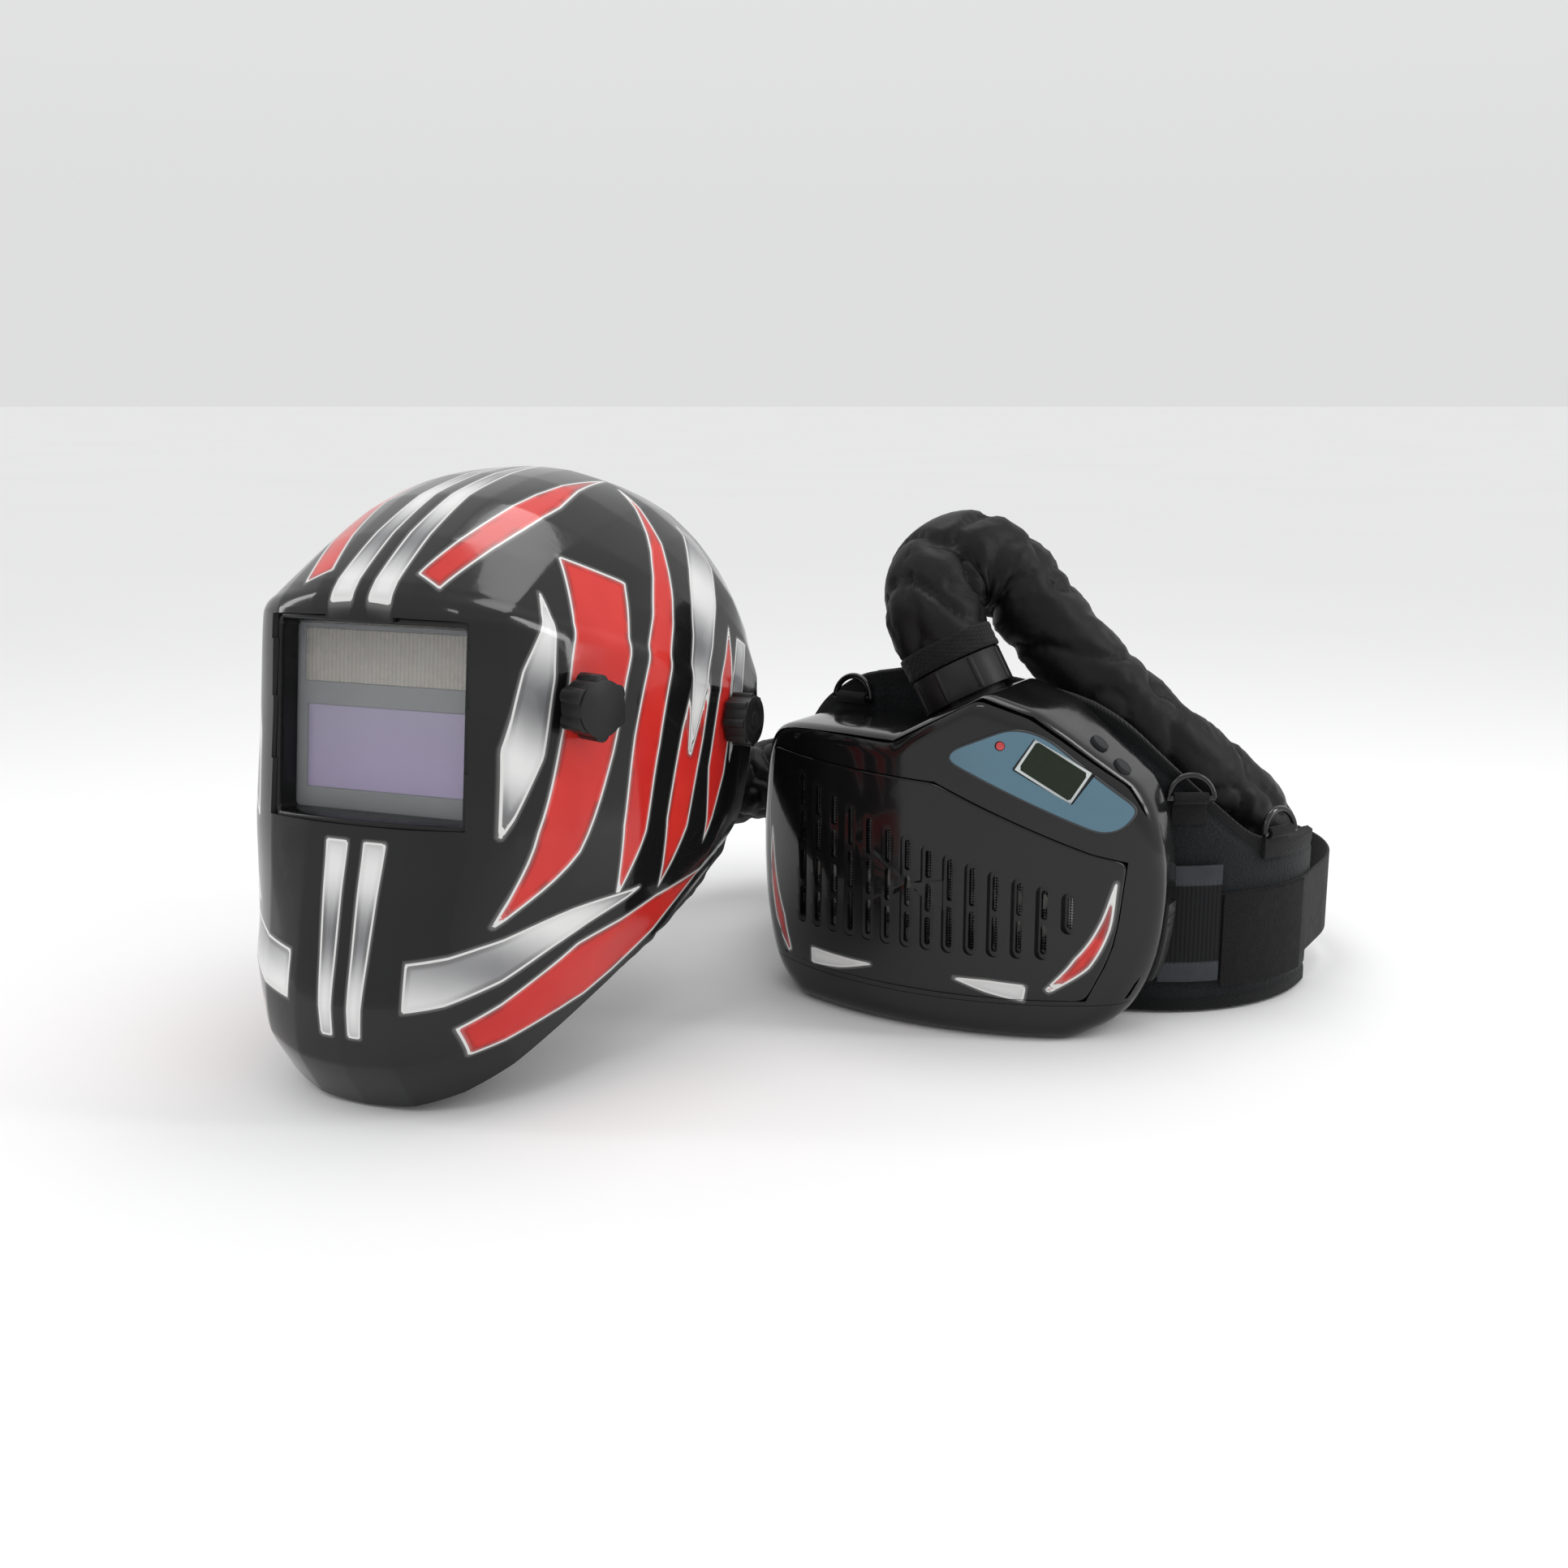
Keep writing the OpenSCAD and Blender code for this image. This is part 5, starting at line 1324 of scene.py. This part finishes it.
widths = np.linalg.norm(np.diff(G, axis=0), axis=2).sum(0)
put_attr(seal, "pu", np.tile(arc, Rn))
put_attr(seal, "pv", np.repeat(np.linspace(0, 1, Rn), Cn) * widths.mean())
m = seal.modifiers.new("t", "SOLIDIFY")
m.thickness, m.offset = 0.8 * MM, 0
apply_mods(seal)
seal.data.shade_smooth()
finish_piece(seal, "face_seal")

# sweatband: soft roll inside the headband
def ell_pt(a, rx, ry):
    return np.array([rx * math.cos(math.radians(a)), 34 + ry * math.sin(math.radians(a)), 0.0])


V_, F, pu, pv = [], [], [], []
A = np.arange(-150, -29.9, 2.0)
sec = [(math.cos(t), math.sin(t)) for t in np.linspace(0, 2 * math.pi, 28, endpoint=False)]
run = 0.0
for i, a_ in enumerate(A):
    e = min(1.0, min(i, len(A) - 1 - i) / 3.0)
    e = math.sqrt(max(0.05, 1 - (1 - e) ** 2))
    c0 = ell_pt(a_, 80 - 2.7 - 2.5, 100 - 2.7 - 2.5)
    nrm_ = (ell_pt(a_, 80, 100) - np.array([0, 34, 0])) / np.array([80.0 ** 2, 100.0 ** 2, 1])
    nrm_ /= np.linalg.norm(nrm_)
    for cx_, cz_ in sec:
        sx_ = math.copysign(abs(cx_) ** 0.55, cx_)
        sz_ = math.copysign(abs(cz_) ** 0.75, cz_)
        wob_ = 0.25 * noise.noise(Vector((a_ / 4.0, cz_ * 2, 1)))
        p = c0 + nrm_ * sx_ * (2.35 + wob_) * e
        V_.append((p[0], p[1], 178 - 4 + 16 + sz_ * 15.8 * e))
        pu.append(run); pv.append(cz_ * 16)
    run += 3.2
m_ = len(sec)
F = [(i * m_ + j, i * m_ + (j + 1) % m_, (i + 1) * m_ + (j + 1) % m_, (i + 1) * m_ + j) for i in range(len(A) - 1) for j in range(m_)]
F += [tuple(range(m_ - 1, -1, -1)), tuple((len(A) - 1) * m_ + j for j in range(m_))]
sb = make("sweatband_pad", H(V_), F, [M["towel"].m])
put_attr(sb, "pu", pu); put_attr(sb, "pv", pv)
finish_piece(sb, "sweatband")

# ------------------------------------------------------------------ stage
fm = Mat("floor_paint")
fm.set(color=fm.mix(fm.noise(1.2, 2), (0.90, 0.90, 0.90), (0.93, 0.93, 0.93)), rough=0.9, spec=0.05)
floor = make("floor", [(-60, -60, -0.0006), (60, -60, -0.0006), (60, 90, -0.0006), (-60, 90, -0.0006)], [(0, 1, 2, 3)], [fm.m], smooth=False, mm=False)
world = bpy.data.worlds.new("studio")
S.world = world
world.use_nodes = True
wt = world.node_tree
wc, ws, wr = wt.nodes.new("ShaderNodeTexCoord"), wt.nodes.new("ShaderNodeSeparateXYZ"), wt.nodes.new("ShaderNodeMapRange")
wr.interpolation_type = "SMOOTHSTEP"
wr.inputs[1].default_value, wr.inputs[2].default_value, wr.inputs[3].default_value, wr.inputs[4].default_value = 0.02, 0.65, 0.735, 0.90
wt.links.new(wc.outputs["Generated"], ws.inputs[0])
wt.links.new(ws.outputs[2], wr.inputs[0])
wt.nodes["Background"].inputs[0].default_value = (0.995, 0.997, 1.0, 1)
wt.links.new(wr.outputs[0], wt.nodes["Background"].inputs[1])


def area_light(name, loc, aim, size, radiance, size_y=None):
    ld = bpy.data.lights.new(name, "AREA")
    ld.shape = "RECTANGLE"
    ld.size, ld.size_y = size, size_y or size
    ld.energy = radiance * math.pi * ld.size * ld.size_y
    ob = link(bpy.data.objects.new(name, ld))
    ob.location = loc
    ob.rotation_euler = (Vector(aim) - Vector(loc)).to_track_quat("-Z", "Y").to_euler()
    return ob


area_light("top_softbox", (-0.05, 0.25, 1.25), (-0.05, 0.0, 0.1), 0.8, 3.2, 0.4)
area_light("key_softbox", (0.15, -1.25, 1.35), (-0.05, -0.05, 0.15), 0.45, 6, 0.16)
area_light("left_strip", (-1.15, -0.75, 0.55), (-0.15, -0.1, 0.18), 0.14, 7, 0.8)
area_light("right_strip", (1.05, 0.35, 0.7), (0.05, 0.1, 0.15), 0.16, 8, 0.9)
S.view_settings.view_transform = "Standard"
